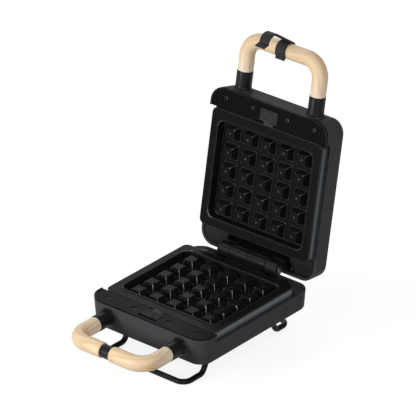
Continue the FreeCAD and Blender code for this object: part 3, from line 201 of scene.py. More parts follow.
class Finish(Nodes):
    """A material, built from nodes."""

    def __init__(self, name):
        self.material = bpy.data.materials.new(name)
        self.material.use_nodes = True
        super().__init__(self.material.node_tree)
        self.place = self.node("ShaderNodeTexCoord", output="Object")

    def attribute(self, name, output):
        return self.node("ShaderNodeAttribute", {"attribute_name": name}, output=output)

    def noise(self, scale, detail, place=None, roughness=0.5, distortion=0.0):
        return self.node(
            "ShaderNodeTexNoise",
            inputs={
                "Vector": place or self.place,
                "Scale": scale,
                "Detail": detail,
                "Roughness": roughness,
                "Distortion": distortion,
            },
        )

    def streaks(self, scales, detail, place=None, roughness=0.5):
        """Noise with a scale of its own along each axis."""
        stretched = self.node(
            "ShaderNodeMapping", inputs={"Vector": place or self.place, "Scale": scales}
        )
        return self.noise(1.0, detail, stretched, roughness)

    def mixed(self, share, first, second):
        """A colour between two colours."""
        return self.node(
            "ShaderNodeMix",
            {"data_type": "RGBA"},
            {"Factor": share, "A": first, "B": second},
            output="Result",
        )

    def ramp(self, value, *stops):
        return self.node("ShaderNodeValToRGB", {"stops": stops}, {"Fac": value})

    def bump(self, height, distance):
        return self.node("ShaderNodeBump", inputs={"Height": height, "Distance": distance})

    def surface(self, sockets):
        shader = self.node("ShaderNodeBsdfPrincipled", inputs=sockets)
        self.node("ShaderNodeOutputMaterial", inputs={"Surface": shader})
        return self.material


def shade(colour, level=1.0):
    """A colour with its brightness changed, as a socket takes it."""
    return tuple(channel * level for channel in colour) + (1.0,)


# Finishes: a pattern's scale is in lumps per metre, and a bump's depth in metres
PLASTIC_CLOUD = 0.1
POLISH_ROUGHNESS = 0.35


def moulded_plastic(name, colour, rough, gloss, grain=2600.0, depth=0.03 * MM, glint_and_wear_share=0.0):
    """Plastic from a spark-eroded mould: a fine even grain, with faint clouding from handling, and extra
    coat on marked corners as a painted glint.
    """
    finish = Finish(name)
    fine = finish.noise(grain, detail=1.0)
    broad = finish.noise(38.0, detail=3.0)
    smear = finish.noise(9.0, detail=4.0, distortion=0.6)
    tint = (broad.swing(0.7) + fine.swing(0.5) + 0.5).limited()
    dull = shade(colour, 1.0 - PLASTIC_CLOUD)
    bright = shade(colour, 1.0 + PLASTIC_CLOUD)
    return finish.surface({
        "Base Color": finish.mixed(tint, dull, bright),
        "Roughness": (rough + smear.swing(0.14) + fine.swing(0.1)).limited(),
        "Specular IOR Level": gloss,
        # A coat on marked corners as a painted glint, partly wear.
        "Coat Weight": finish.attribute("burnished", "Fac") * glint_and_wear_share,
        "Coat Roughness": POLISH_ROUGHNESS,
        "Normal": finish.bump(fine, depth),
    })


COATING = (0.0085, 0.0084, 0.0079)
COATING_FLECK = (0.02, 0.02, 0.02)
FLECK_SHARE = 0.35
# Painted glint on corners and dimple floors, partly worn coating: a lighter, part metallic grey.
GLINT_GREY_THIN_COATING = (0.11, 0.11, 0.108)
GLINT_METAL_THIN_COATING = 0.6


def coated_casting(name):
    """Black non-stick coating over a casting: an orange-peel skin with grey flecks, and a painted glint,
    partly wear, on corners and dimple floors.
    """
    finish = Finish(name)
    peel = finish.noise(750.0, detail=2.0)
    fleck = finish.noise(3600.0, detail=0.0)
    wear = finish.noise(26.0, detail=4.0)
    speckle = finish.ramp(fleck, (0.66, 0.0), (0.74, 1.0))
    coat = finish.mixed(speckle * FLECK_SHARE, shade(COATING), shade(COATING_FLECK))
    # Painted glint, partly wear: marked corners and dimple floors turn lighter and metallic.
    glint_share = finish.attribute("burnished", "Fac")
    return finish.surface({
        "Base Color": finish.mixed(glint_share, coat, shade(GLINT_GREY_THIN_COATING)),
        "Metallic": glint_share * GLINT_METAL_THIN_COATING,
        "Roughness": (0.27 + wear.swing(0.14) + peel.swing(0.06)).limited(),
        "Specular IOR Level": 0.02,
        "Normal": finish.bump(peel, 0.02 * MM),
    })


TRAY_SHEET = (0.105, 0.122, 0.13)
# Painted shade on a sheet: near black below a given height, over a short fade.
PAINTED_SHADE_GREY = (0.007, 0.0075, 0.0072)
PAINTED_SHADE_FADE = 1.5 * MM
BELOW_FLOOR = -1.0


def rolled_sheet(name, painted_shade_top=BELOW_FLOOR):
    """Dull metal sheet with rolling streaks, painted near black below a height as painted shade."""
    finish = Finish(name)
    height = finish.node("ShaderNodeSeparateXYZ", inputs={"Vector": finish.place}, output="Z")
    # Painted shade: the sheet turns near black below the given height.
    shade_share = ((painted_shade_top - height) / PAINTED_SHADE_FADE).limited()
    streaks = finish.streaks((900.0, 40.0, 900.0), detail=3.0)
    stain = finish.noise(24.0, detail=4.0)
    tone = (streaks.swing(0.8) + stain.swing(0.5) + 0.5).limited()
    sheet = finish.mixed(tone, shade(TRAY_SHEET, 0.8), shade(TRAY_SHEET, 1.2))
    painted_shade = finish.mixed(stain, shade(PAINTED_SHADE_GREY, 0.7), shade(PAINTED_SHADE_GREY, 1.3))
    return finish.surface({
        "Base Color": finish.mixed(shade_share, sheet, painted_shade),
        "Metallic": 0.75,
        "Roughness": (0.46 + streaks.swing(0.18) + stain.swing(0.1)).limited(),
        "Normal": finish.bump(streaks, 0.02 * MM),
    })


def powder_coat(name, colour, rough, gloss):
    """Powder-coated steel: a slightly pebbled satin skin."""
    finish = Finish(name)
    pebble = finish.noise(1500.0, detail=1.0)
    broad = finish.noise(45.0, detail=3.0)
    return finish.surface({
        "Base Color": finish.mixed(broad, shade(colour, 0.85), shade(colour, 1.15)),
        "Roughness": (rough + broad.swing(0.12)).limited(),
        "Specular IOR Level": gloss,
        "Normal": finish.bump(pebble, 0.04 * MM),
    })


def bare_steel(name, colour, rough, scales):
    """Drawn or turned steel, with the fine lines of the die or the tool."""
    finish = Finish(name)
    lines = finish.streaks(scales, detail=3.0)
    stain = finish.noise(60.0, detail=4.0)
    tone = (lines.swing(0.7) + stain.swing(0.6) + 0.5).limited()
    return finish.surface({
        "Base Color": finish.mixed(tone, shade(colour, 0.75), shade(colour, 1.2)),
        "Metallic": 1.0,
        "Roughness": (rough + stain.swing(0.2)).limited(),
        "Normal": finish.bump(lines, 0.01 * MM),
    })


EARLY_WOOD = (0.8, 0.605, 0.385)
LATE_WOOD = (0.64, 0.375, 0.165)
PORE_BROWN = (0.5, 0.29, 0.13)
PORE_SHARE = 0.16
# Painted highlights: paler wood up each leg, and a pale line at the rim by each sleeve.
LEG_HIGHLIGHT_WOOD = (0.9, 0.77, 0.6)
LEG_HIGHLIGHT_SHARE = 0.8
RIM_HIGHLIGHT = (0.93, 0.88, 0.8)
RIM_HIGHLIGHT_SHARE = 0.8
RING_SPACING = 4.4 * MM
RING_DRIFT = 16.0 * MM
RING_SWAY = 1.1
RING_TILT = 0.1
FAINTEST_RING = 0.25


def pale_wood(name, offset, contrast):
    """Lacquered pale wood whose year rings follow the bent piece, from its own grain attribute.

    The attribute holds the distance along the piece and the two distances across it. Another one,
    leg, runs up to 1 where a leg meets its sleeve: the wood is painted paler there as a painted highlight,
    with a painted highlight line at the rim.
    """
    finish = Finish(name)
    grain = finish.attribute("grain", "Vector")
    moved = finish.node("ShaderNodeVectorMath", {"operation": "ADD"}, {0: grain, 1: offset})
    sway = finish.streaks((17.0, 42.0, 42.0), detail=2.0, place=moved)
    drift = finish.streaks((9.0, 15.0, 15.0), detail=2.0, place=moved)
    along = finish.node("ShaderNodeSeparateXYZ", inputs={"Vector": moved}, output="X")
    across = along.beside("Y")
    upward = along.beside("Z")
    side = across + along * RING_TILT + drift.swing(RING_DRIFT)
    radius = (side * side + upward * upward) ** 0.5
    ring = (radius / RING_SPACING + sway.swing(RING_SWAY)).fraction()
    late = finish.ramp(ring, (0.0, 0.1), (0.3, 0.0), (0.62, 0.12), (0.88, 1.0), (1.0, 0.1))
    strength = finish.streaks((14.0, 70.0, 70.0), detail=1.0, place=moved)
    band = late * (FAINTEST_RING + strength)
    fibre = finish.streaks((70.0, 2600.0, 2600.0), detail=3.0, place=moved, roughness=0.65)
    pores = finish.streaks((160.0, 3800.0, 3800.0), detail=1.0, place=moved)
    flecks = finish.ramp(pores, (0.66, 0.0), (0.78, 1.0))
    # Painted highlight: paler wood towards each sleeve, and a pale line right at its rim.
    leg = finish.attribute("leg", "Fac")
    rim = finish.ramp(leg, (0.95, 0.0), (0.97, 1.0))
    early = finish.mixed(fibre.swing(1.6) + 0.5, shade(EARLY_WOOD, 0.95), shade(EARLY_WOOD, 1.05))
    ground = finish.mixed((leg * LEG_HIGHLIGHT_SHARE).limited(), early, shade(LEG_HIGHLIGHT_WOOD))
    ringed = finish.mixed((band * contrast).limited(), ground, shade(LATE_WOOD))
    flecked = finish.mixed((flecks * PORE_SHARE).limited(), ringed, shade(PORE_BROWN))
    return finish.surface({
        "Base Color": finish.mixed((rim * RIM_HIGHLIGHT_SHARE).limited(), flecked, shade(RIM_HIGHLIGHT)),
        "Roughness": (0.46 + fibre.swing(0.16) + band * 0.05).limited(),
        "Specular IOR Level": 0.35,
        "Coat Weight": 0.12,
        "Coat Roughness": POLISH_ROUGHNESS,
        "Normal": finish.bump(fibre - band * 0.5, 0.03 * MM),
    })


CREAM = (0.55, 0.5, 0.4)


def ceramic(name):
    """Moulded insulator: cream, slightly mottled."""
    finish = Finish(name)
    mottle = finish.noise(300.0, detail=4.0)
    return finish.surface({
        "Base Color": finish.mixed(mottle, shade(CREAM, 0.85), shade(CREAM, 1.1)),
        "Roughness": (0.5 + mottle.swing(0.2)).limited(),
        "Normal": finish.bump(mottle, 0.03 * MM),
    })


PLATE_FOOT = min(corner[2] for corner in frame["nodes"]["upper_plate"].bound_box)
PAINTED_SHADE_ABOVE_FOOT = 2.0 * MM

SHELL = moulded_plastic("charcoal_shell", (0.056, 0.0545, 0.0603), rough=0.42, gloss=0.02)
# The bar's marked corners get a coat as a painted glint.
BAR = moulded_plastic(
    "black_bar", (0.0046, 0.0046, 0.0043), rough=0.33, gloss=0.02, grain=2000.0, glint_and_wear_share=1.0
)
SLIDER = moulded_plastic("slate_slider", (0.024, 0.025, 0.03), rough=0.5, gloss=0.12)
SLEEVE = moulded_plastic(
    "blue_black_sleeve", (0.0065, 0.0075, 0.009), rough=0.4, gloss=0.16, grain=1800.0
)
LATCH = moulded_plastic(
    "black_latch", (0.032, 0.0315, 0.0325), rough=0.52, gloss=0.1, grain=1800.0
)
CLAMP = moulded_plastic("black_clamp", (0.012, 0.012, 0.012), rough=0.55, gloss=0.25)
GLAND = moulded_plastic(
    "black_rubber", (0.011, 0.011, 0.011), rough=0.75, gloss=0.2, grain=900.0, depth=0.05 * MM
)
PLATE = coated_casting("non_stick_casting")
TRAY = rolled_sheet("dull_tray_sheet")
# The lid's sheet, with painted shade on its lowest part, up to just above the plate's foot.
LID_TRAY = rolled_sheet("shaded_tray_sheet", painted_shade_top=PLATE_FOOT + PAINTED_SHADE_ABOVE_FOOT)
HINGE_COAT = powder_coat("black_hinge_coat", (0.007, 0.0075, 0.009), rough=0.4, gloss=0.16)
WIRE_COAT = powder_coat("black_wire_coat", (0.007, 0.007, 0.0066), rough=0.33, gloss=0.1)
SCREW = bare_steel("blackened_screw", (0.03, 0.03, 0.031), rough=0.36, scales=(700.0, 700.0, 700.0))
PIN = bare_steel("pin_steel", (0.22, 0.21, 0.2), rough=0.38, scales=(90.0, 900.0, 900.0))
HEATER = bare_steel("oxidised_sheath", (0.3, 0.28, 0.26), rough=0.5, scales=(120.0, 120.0, 900.0))
CERAMIC = ceramic("cream_insulator")
WOOD = {
    "base_handle_grip_left": pale_wood("pale_wood_base_left", (0.31, 0.012, 0.02), contrast=0.8),
    "base_handle_grip_right": pale_wood("pale_wood_base_right", (0.73, 0.016, 0.009), contrast=0.85),
    "lid_handle_grip": pale_wood("pale_wood_lid", (1.4, 0.02, 0.014), contrast=0.45),
}


# Meshes
def placed(name, data):
    """A new object in the scene."""
    made = bpy.data.objects.new(name, data)
    bpy.context.scene.collection.objects.link(made)
    return made


def finished_piece(name, mesh, material, body, node):
    """Puts a mesh in the scene as a piece that rides on a body and stands for a CAD node."""
    piece = placed(name, mesh)
    mesh.materials.clear()
    mesh.materials.append(material)
    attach(piece, body)
    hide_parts(node)
    return piece


def smooth_mesh(name, work, sharp_angle):
    """A plain mesh from a bmesh, smooth but for edges over an angle in degrees."""
    mesh = bpy.data.meshes.new(name)
    work.to_mesh(mesh)
    work.free()
    mesh.shade_smooth()
    mesh.set_sharp_from_angle(angle=math.radians(sharp_angle))
    return mesh


def outward_mesh(name, work, sharp_angle=35.0):
    """The same with every face turned outwards."""
    bmesh.ops.recalc_face_normals(work, faces=work.faces)
    return smooth_mesh(name, work, sharp_angle)


def applied(piece):
    """The piece's mesh with its modifiers, as a plain mesh."""
    graph = bpy.context.evaluated_depsgraph_get()
    return bpy.data.meshes.new_from_object(piece.evaluated_get(graph))


def skin(work, loops):
    """Faces between neighbouring loops of vertices, closed at both ends."""
    for first, second in zip(loops, loops[1:]):
        for step in range(len(first)):
            after = (step + 1) % len(first)
            work.faces.new((first[step], first[after], second[after], second[step]))
    work.faces.new(loops[0][::-1])
    work.faces.new(loops[-1])


# CAD nodes with their corners eased
MERGE_DISTANCE = 0.002 * MM
FLAT_ANGLE = math.radians(0.6)
CORNER_ANGLE = math.radians(24.0)
SHORT_EDGE = 0.55 * MM
EASE_SEGMENTS = 2
EASED_SHARP_ANGLE = 40.0


def worth_easing(edge, ease):
    """A corner between faces that are wide enough to give way, and no part of a small hole's rim."""
    if not edge.is_manifold or edge.calc_face_angle() < CORNER_ANGLE:
        return False
    length = edge.calc_length()
    narrow = min(face.calc_area() for face in edge.link_faces) / length
    return length > SHORT_EDGE and narrow > ease * 2


# Faces that take a painted glint, partly as wear: dimple floors, and narrow strips of rounded corners.
NARROW_FACE = 0.7 * MM
DIMPLE_AREA = 6.0 * MM * MM
DIMPLE_SIDES = 9
DIMPLE_GLINT = 0.6
SLIGHT_BEND = math.radians(2.0)
BENT_SHARE = 0.6
LONG_STRIP = 14.0 * MM
STRIP_GLINT_AND_WEAR = 0.22


def glint_and_wear_share(face):
    """How much painted glint, partly wear, a face takes: a dimple's floor a lot, a strip of a rounded
    corner a little.
    """
    area = face.calc_area()
    if area < DIMPLE_AREA and len(face.edges) >= DIMPLE_SIDES:
        return DIMPLE_GLINT
    lengths = [edge.calc_length() for edge in face.edges]
    bent = [edge.calc_length() for edge in face.edges if edge.calc_face_angle_signed(0.0) > SLIGHT_BEND]
    strip = area / max(lengths) < NARROW_FACE and sum(bent) > sum(lengths) * BENT_SHARE
    return STRIP_GLINT_AND_WEAR if strip else 0.0


def eased_copy(node, ease, material):
    """A copy of a CAD node with its corners eased, which stands for it."""
    work = bmesh.new()
    work.from_mesh(frame["nodes"][node].data)
    mark = work.faces.layers.float.new("burnished")
    bmesh.ops.remove_doubles(work, verts=work.verts, dist=MERGE_DISTANCE)
    bmesh.ops.dissolve_limit(
        work, angle_limit=FLAT_ANGLE, use_dissolve_boundaries=False, verts=work.verts, edges=work.edges
    )
    corners = [edge for edge in work.edges if worth_easing(edge, ease)]
    eased = bmesh.ops.bevel(
        work,
        geom=corners,
        offset=ease,
        offset_type="OFFSET",
        segments=EASE_SEGMENTS,
        profile=0.5,
        affect="EDGES",
        clamp_overlap=False,
        harden_normals=False,
    )
    # Painted glint, partly wear, kept as a face attribute: eased corners take all of it, long eased strips
    # a little.
    for face in work.faces:
        face[mark] = glint_and_wear_share(face)
    for face in eased["faces"]:
        longest = max(edge.calc_length() for edge in face.edges)
        face[mark] = 1.0 if longest < LONG_STRIP else STRIP_GLINT_AND_WEAR
    name = node + "_eased"
    mesh = smooth_mesh(name, work, EASED_SHARP_ANGLE)
    piece = finished_piece(name, mesh, material, frame["nodes"][node]["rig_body"], node)
    weighted = piece.modifiers.new("even_faces", "WEIGHTED_NORMAL")
    weighted.keep_sharp = True


# Sleeves and the ring, turned about an axis
RIM_SEGMENTS = 48
SLEEVE_FILLET = 1.8 * MM
SLEEVE_FILLET_LENGTH = 5.0 * MM
SLEEVE_FILLET_STEPS = 8
END_ROUND = 0.5 * MM
ROUND_STEPS = 4


def turned(profile, place, axis):
    """A closed solid of revolution: profile points are (distance along, radius), about an axis."""
    work = bmesh.new()
    forward = Vector(axis)
    across = forward.orthogonal().normalized()
    upward = forward.cross(across)
    loops = []
    for along, radius in profile:
        loop = []
        for step in range(RIM_SEGMENTS):
            angle = math.tau * step / RIM_SEGMENTS
            outward = across * math.cos(angle) + upward * math.sin(angle)
            loop.append(work.verts.new(Vector(place) + forward * along + outward * radius))
        loops.append(loop)
    skin(work, loops)
    return work


def rounded_end(along, radius, toward):
    """Profile points of a small round at an end, towards -1 or 1."""
    points = []
    for step in range(ROUND_STEPS + 1):
        angle = math.pi / 2 * step / ROUND_STEPS
        points.append((
            along - toward * END_ROUND * (1.0 - math.sin(angle)),
            radius - END_ROUND * (1.0 - math.cos(angle)),
        ))
    return points


def sleeve_profile():
    """From the shell's front to the wood: a soft foot that fades into the shell, then a plain tube."""
    length = GRIP_START - SHELL_FRONT
    foot = []
    for step in range(SLEEVE_FILLET_STEPS):
        share = step / SLEEVE_FILLET_STEPS
        foot.append((SLEEVE_FILLET_LENGTH * share, SLEEVE_RADIUS + SLEEVE_FILLET * (1.0 - share) ** 3))
    return foot + [(SLEEVE_FILLET_LENGTH, SLEEVE_RADIUS)] + rounded_end(length, SLEEVE_RADIUS, 1)


def handle_sleeves():
    """Four sleeves. The lid is turned over, so the right of its own frame is the object's left."""
    for half, place in PLACES.items():
        words = {-1: "left", 1: "right"} if half == "base" else {-1: "right", 1: "left"}
        for side, word in words.items():
            node = "%s_handle_sleeve_%s" % (half, word)
            foot = (LEG_PLACE * side, -SHELL_FRONT, -HANDLE_DROP)
            work = turned(sleeve_profile(), foot, (0, -1, 0))
            work.transform(place)
            mesh = outward_mesh(node, work)
            finished_piece(node + "_turned", mesh, SLEEVE, half, node)


def handle_ring():
    """The black ring between the two wooden halves, with rounded ends."""
    profile = rounded_end(-RING_HALF_WIDTH, RING_RADIUS, -1)[::-1]
    profile += rounded_end(RING_HALF_WIDTH, RING_RADIUS, 1)
    work = turned(profile, (0, -HANDLE_FRONT, -HANDLE_DROP), (1, 0, 0))
    work.transform(PLACES["base"])
    node = "base_handle_ring"
    finished_piece(node + "_turned", outward_mesh("ring", work), SLEEVE, "base", node)


# Wooden grips, swept along their bent axis
GRIP_SIDES = 56
GRIP_SHARP_ANGLE = 50.0
BEND_STEPS = 28
RUN_STEP = 0.9 * MM
SAME_WAY = 1e-6
GRIP_END_ROUND = 0.9 * MM
GRIP_END_DEPTH = 0.8
GROOVE_PLACE = 1.5 * MM
GROOVE_HALF_WIDTH = 0.35 * MM
GROOVE_DEPTH = 0.22 * MM
NECK_DEPTH = 0.35 * MM
LEG_FADE = 24.0 * MM


def bent_axis(corners, bend):
    """Points along straight runs joined by arcs, each with its direction."""
    points = []
    for number, corner in enumerate(corners):
        here = Vector(corner)
        if number in (0, len(corners) - 1):
            other = Vector(corners[1] if number == 0 else corners[-2])
            points.append((here, (other - here).normalized() * (1 if number == 0 else -1)))
            continue
        inward = (here - Vector(corners[number - 1])).normalized()
        outward = (Vector(corners[number + 1]) - here).normalized()
        centre = here - inward * bend + outward * bend
        for step in range(BEND_STEPS + 1):
            angle = math.pi / 2 * step / BEND_STEPS
            points.append((
                centre - outward * bend * math.cos(angle) + inward * bend * math.sin(angle),
                inward * math.cos(angle) + outward * math.sin(angle),
            ))
    return points


def evenly_filled(points):
    """The same line with its long straight runs divided."""
    filled = [points[0]]
    for (start, way), (end, after) in zip(points, points[1:]):
        count = max(1, round((end - start).length / RUN_STEP))
        if (way - after).length < SAME_WAY:
            filled += [(start.lerp(end, n / count), way) for n in range(1, count)]
        filled.append((end, after))
    return filled


def grip_radius(along, length, ends):
    """The grip's radius at a distance along it: rounded ends, and a fine groove beside each sleeve."""
    radius = GRIP_RADIUS
    for kind, gap in ((ends[0], along), (ends[1], length - along)):
        if gap < GRIP_END_ROUND:
            rise = 1.0 - gap / GRIP_END_ROUND
            drop = 1.0 - math.sqrt(max(0.0, 1.0 - rise * rise))
            radius -= GRIP_END_ROUND * drop * GRIP_END_DEPTH
        if kind == "sleeve":
            near = abs(gap - GROOVE_PLACE) / GROOVE_HALF_WIDTH
            if near < 1.0:
                radius -= GROOVE_DEPTH * (1.0 - near * near)
    return radius


def bent_grip(node, half, corners, ends, neck=None):
    """A round wooden bar along bent corners, with a slim neck in its middle where one is given.

    The distances along and across it are kept as grain, and the nearness to a sleeve as leg.
    """
    line = evenly_filled(bent_axis(corners, GRIP_BEND))
    length = sum((b[0] - a[0]).length for a, b in zip(line, line[1:]))
    work = bmesh.new()
    grain = work.verts.layers.float_vector.new("grain")
    leg = work.verts.layers.float.new("leg")
    upward = Vector((0, 0, 1))
    loops = []
    along = 0.0
    for number, (point, way) in enumerate(line):
        if number:
            along += (point - line[number - 1][0]).length
        radius = grip_radius(along, length, ends)
        if neck is not None:
            past = (abs(along - length / 2) - neck) / GRIP_END_ROUND
            radius -= NECK_DEPTH * min(1.0, max(0.0, 0.5 - past))
        side = way.cross(upward).normalized()
        loop = []
        for step in range(GRIP_SIDES):
            angle = math.tau * step / GRIP_SIDES
            across = radius * math.cos(angle)
            up = radius * math.sin(angle)
            vertex = work.verts.new(point + side * across + upward * up)
            vertex[grain] = (along, across, up)
            vertex[leg] = max(0.0, 1.0 + (point.y + GRIP_START) / LEG_FADE)
            loop.append(vertex)
        loops.append(loop)
    skin(work, loops)
    work.transform(PLACES[half])
    name = node + "_bent"
    mesh = outward_mesh(name, work, GRIP_SHARP_ANGLE)
    finished_piece(name, mesh, WOOD[node], half, node)


def wooden_grips():
    start, front, height = -GRIP_START, -HANDLE_FRONT, -HANDLE_DROP
    for side, word in ((-1, "left"), (1, "right")):
        corners = [
            (LEG_PLACE * side, start, height),
            (LEG_PLACE * side, front, height),
            (RING_HALF_WIDTH * side, front, height),
        ]
        bent_grip("base_handle_grip_" + word, "base", corners, ("sleeve", "ring"))
    corners = [
        (-LEG_PLACE, start, height),
        (-LEG_PLACE, front, height),
        (LEG_PLACE, front, height),
        (LEG_PLACE, start, height),
    ]
    bent_grip("lid_handle_grip", "lid", corners, ("sleeve", "sleeve"), neck=LATCH_HALF_WIDTH)


# Screws with a crossed drive, set out by geometry nodes
SCREW_HEAD_RADIUS = 2.8 * MM
SCREW_HEAD_HEIGHT = 1.8 * MM
HEAD_EDGE = 0.55 * MM
HEAD_EDGE_SPREAD = 1.4
HEAD_EDGE_STEPS = 5
SCREW_RADIUS = 1.5 * MM
SHANK_LENGTH = 4.0 * MM
SHANK_CHAMFER = 0.4 * MM
SHANK_TIP = 0.8
DRIVE_REACH = 1.55 * MM
DRIVE_HALF_WIDTH = 0.36 * MM
DRIVE_DEPTH = 1.1 * MM


def screw_profile():
    """From the shank's tip to the flat top of the round-edged head, with the head's seat at 0."""
    profile = [
        (-SHANK_LENGTH, SCREW_RADIUS * SHANK_TIP),
        (SHANK_CHAMFER - SHANK_LENGTH, SCREW_RADIUS),
        (0.0, SCREW_RADIUS),
        (0.0, SCREW_HEAD_RADIUS),
    ]
    for step in range(HEAD_EDGE_STEPS + 1):
        angle = math.pi / 2 * step / HEAD_EDGE_STEPS
        profile.append((
            SCREW_HEAD_HEIGHT - HEAD_EDGE * (1.0 - math.sin(angle)),
            SCREW_HEAD_RADIUS - HEAD_EDGE * (1.0 - math.cos(angle)) * HEAD_EDGE_SPREAD,
        ))
    return profile


def screw_pattern():
    """One screw, head up, its seat at the origin, with a crossed drive cut into the head."""
    shape = turned(screw_profile(), (0, 0, 0), (0, 0, 1))
    screw = placed("screw_pattern", outward_mesh("screw_pattern", shape))
    spans = (DRIVE_REACH * 2, DRIVE_HALF_WIDTH * 2, DRIVE_DEPTH * 2)
    for turn in (0, 1):
        blade = bmesh.new()
        bmesh.ops.create_cube(blade, size=1.0)
        blade.transform(Matrix.Diagonal((*spans, 1.0)))
        blade.transform(Matrix.Rotation(math.pi / 2 * turn, 4, "Z"))
        blade.transform(Matrix.Translation((0, 0, SCREW_HEAD_HEIGHT)))
        cutter = placed("drive_blade", outward_mesh("drive_blade", blade))
        slot = screw.modifiers.new("drive", "BOOLEAN")
        slot.object = cutter
        slot.operation = "DIFFERENCE"
        slot.solver = "EXACT"
        screw.data = applied(screw)
        screw.modifiers.clear()
        bpy.data.objects.remove(cutter)
    return screw


def screw_tree():
    """A tree that sets a pattern on each point of a mesh, leant about X and spun by a random angle."""
    tree = bpy.data.node_groups.new("screws", "GeometryNodeTree")
    tree.interface.new_socket("Seats", in_out="INPUT", socket_type="NodeSocketGeometry")
    tree.interface.new_socket("Pattern", in_out="INPUT", socket_type="NodeSocketObject")
    tree.interface.new_socket("Lean", in_out="INPUT", socket_type="NodeSocketFloat")
    tree.interface.new_socket("Spin Seed", in_out="INPUT", socket_type="NodeSocketInt")
    tree.interface.new_socket("Screws", in_out="OUTPUT", socket_type="NodeSocketGeometry")
    nodes = Nodes(tree)
    seats = nodes.node("NodeGroupInput", output="Seats")
    points = nodes.node("GeometryNodeMeshToPoints", inputs={"Mesh": seats})
    pattern = nodes.node(
        "GeometryNodeObjectInfo", inputs={"Object": seats.beside("Pattern")}, output="Geometry"
    )
    lean = nodes.node("ShaderNodeCombineXYZ", inputs={"X": seats.beside("Lean")})
    upright = nodes.node(
        "GeometryNodeInstanceOnPoints", inputs={"Points": points, "Instance": pattern, "Rotation": lean}
    )
    spin = nodes.node(
        "FunctionNodeRandomValue",
        inputs={"Max": math.tau, "Seed": seats.beside("Spin Seed")},
        output="Value",
    )
    turn = nodes.node("ShaderNodeCombineXYZ", inputs={"Z": spin})
    spun = nodes.node("GeometryNodeRotateInstances", inputs={"Instances": upright, "Rotation": turn})
    solid = nodes.node("GeometryNodeRealizeInstances", inputs={"Geometry": spun})
    coated = nodes.node("GeometryNodeSetMaterial", inputs={"Geometry": solid, "Material": SCREW})
    nodes.node("NodeGroupOutput", inputs={"Screws": coated})
    return tree


def screw_set(node, tree, pattern, half, seats, seed):
    """Screws on seats given in a half's own frame, as one plain mesh that rides with the half."""
    name = node + "_crossed"
    place = PLACES[half]
    mesh = bpy.data.meshes.new(name)
    mesh.from_pydata([place @ Vector(seat) for seat in seats], [], [])
    piece = placed(name, mesh)
    spread = piece.modifiers.new("screws", "NODES")
    spread.node_group = tree
    sockets = {item.name: item.identifier for item in tree.interface.items_tree}
    up = place.to_3x3() @ Vector((0, 0, 1))
    spread[sockets["Pattern"]] = pattern
    spread[sockets["Lean"]] = math.atan2(-up.y, up.z)
    spread[sockets["Spin Seed"]] = seed
    made = applied(piece)
    bpy.data.objects.remove(piece)
    made.name = name
    finished_piece(name, made, SCREW, half, node)


def screws():
    pattern = screw_pattern()
    tree = screw_tree()
    across = (-BAR_SCREW_OUTER, -BAR_SCREW_INNER, BAR_SCREW_INNER, BAR_SCREW_OUTER)
    bar_seats = [(x, -BAR_SCREW_LINE, -BAR_SCREW_SEAT) for x in across]
    across = (-TRAY_SCREW_ACROSS, TRAY_SCREW_ACROSS)
    tray_seats = [(x, -TRAY_SCREW_FORWARD, -TRAY_INSIDE) for x in across]
    across = (-LEDGE_SCREW_ACROSS, LEDGE_SCREW_ACROSS)
    tray_seats += [(x, LEDGE_SCREW_BACK, -LEDGE_TOP) for x in across]
    for seed, (half, level) in enumerate((("base", "lower"), ("lid", "upper"))):
        screw_set(half + "_bar_screws", tree, pattern, half, bar_seats, seed)
        screw_set(level + "_reflector_screws", tree, pattern, half, tray_seats, seed + 2)
    bpy.data.objects.remove(pattern)


# CAD nodes that get eased corners or keep their mesh
EASED = (
    # node, ease of its corners, material, slot
    ("base_shell", 0.5 * MM, SHELL, "shell_plastic"),
    ("lid_shell", 0.5 * MM, SHELL, "shell_plastic"),
    ("base_front_bar", 0.22 * MM, BAR, "bar_plastic"),
    ("lid_front_bar", 0.22 * MM, BAR, "bar_plastic"),
    ("lower_plate", 0.55 * MM, PLATE, "plate_coating"),
    ("upper_plate", 0.55 * MM, PLATE, "plate_coating"),
    ("lower_reflector", 0.2 * MM, TRAY, "tray_metal"),
    ("upper_reflector", 0.2 * MM, LID_TRAY, "tray_metal"),
    ("base_release_slider", 0.15 * MM, SLIDER, "slider_plastic"),
    ("lid_release_slider", 0.15 * MM, SLIDER, "slider_plastic"),
    ("handle_latch", 0.35 * MM, LATCH, "latch_plastic"),
    ("base_hinge_bracket", 0.4 * MM, HINGE_COAT, "hinge_metal"),
    ("lid_hinge_bracket", 0.4 * MM, HINGE_COAT, "hinge_metal"),
    ("foot_clamps", 0.4 * MM, CLAMP, "clamp_plastic"),
)
PAINTED = {
    "hinge_pin": PIN,
    "front_wire_foot": WIRE_COAT,
    "rear_wire_foot": WIRE_COAT,
    "cord_gland": GLAND,
    "foot_clamp_screws": SCREW,
    "base_hinge_screws": SCREW,
    "lid_hinge_screws": SCREW,
    "base_handle_screws": SCREW,
    "lid_handle_screws": SCREW,
    "base_handle_dowel": SCREW,
    "base_slider_spring": SCREW,
    "lid_slider_spring": SCREW,
    "lower_heater": HEATER,
    "upper_heater": HEATER,
    "lower_heater_supports": CERAMIC,
    "upper_heater_supports": CERAMIC,
    "lower_thermostat": CERAMIC,
    "upper_thermostat": CERAMIC,
    "thermal_fuse": CERAMIC,
    "terminal_block": CERAMIC,
}


def cad_pieces():
    for node, ease, material, slot in EASED:
        eased_copy(node, ease, material)
    for node, material in PAINTED.items():
        mesh = frame["nodes"][node].data
        mesh.materials.clear()
        mesh.materials.append(material)


# Stage: floor, surroundings, lamps and the camera
FLOOR_HALF = 30.0
FLOOR_GREY = (0.3, 0.3, 0.3)
FLOOR_GLOW = 0.83
# Pairs of a direction's height and the light that comes from there
ROOM_LEVELS = ((0.0, 0.1), (0.26, 0.12), (0.42, 0.8), (0.52, 0.6), (0.64, 0.12))


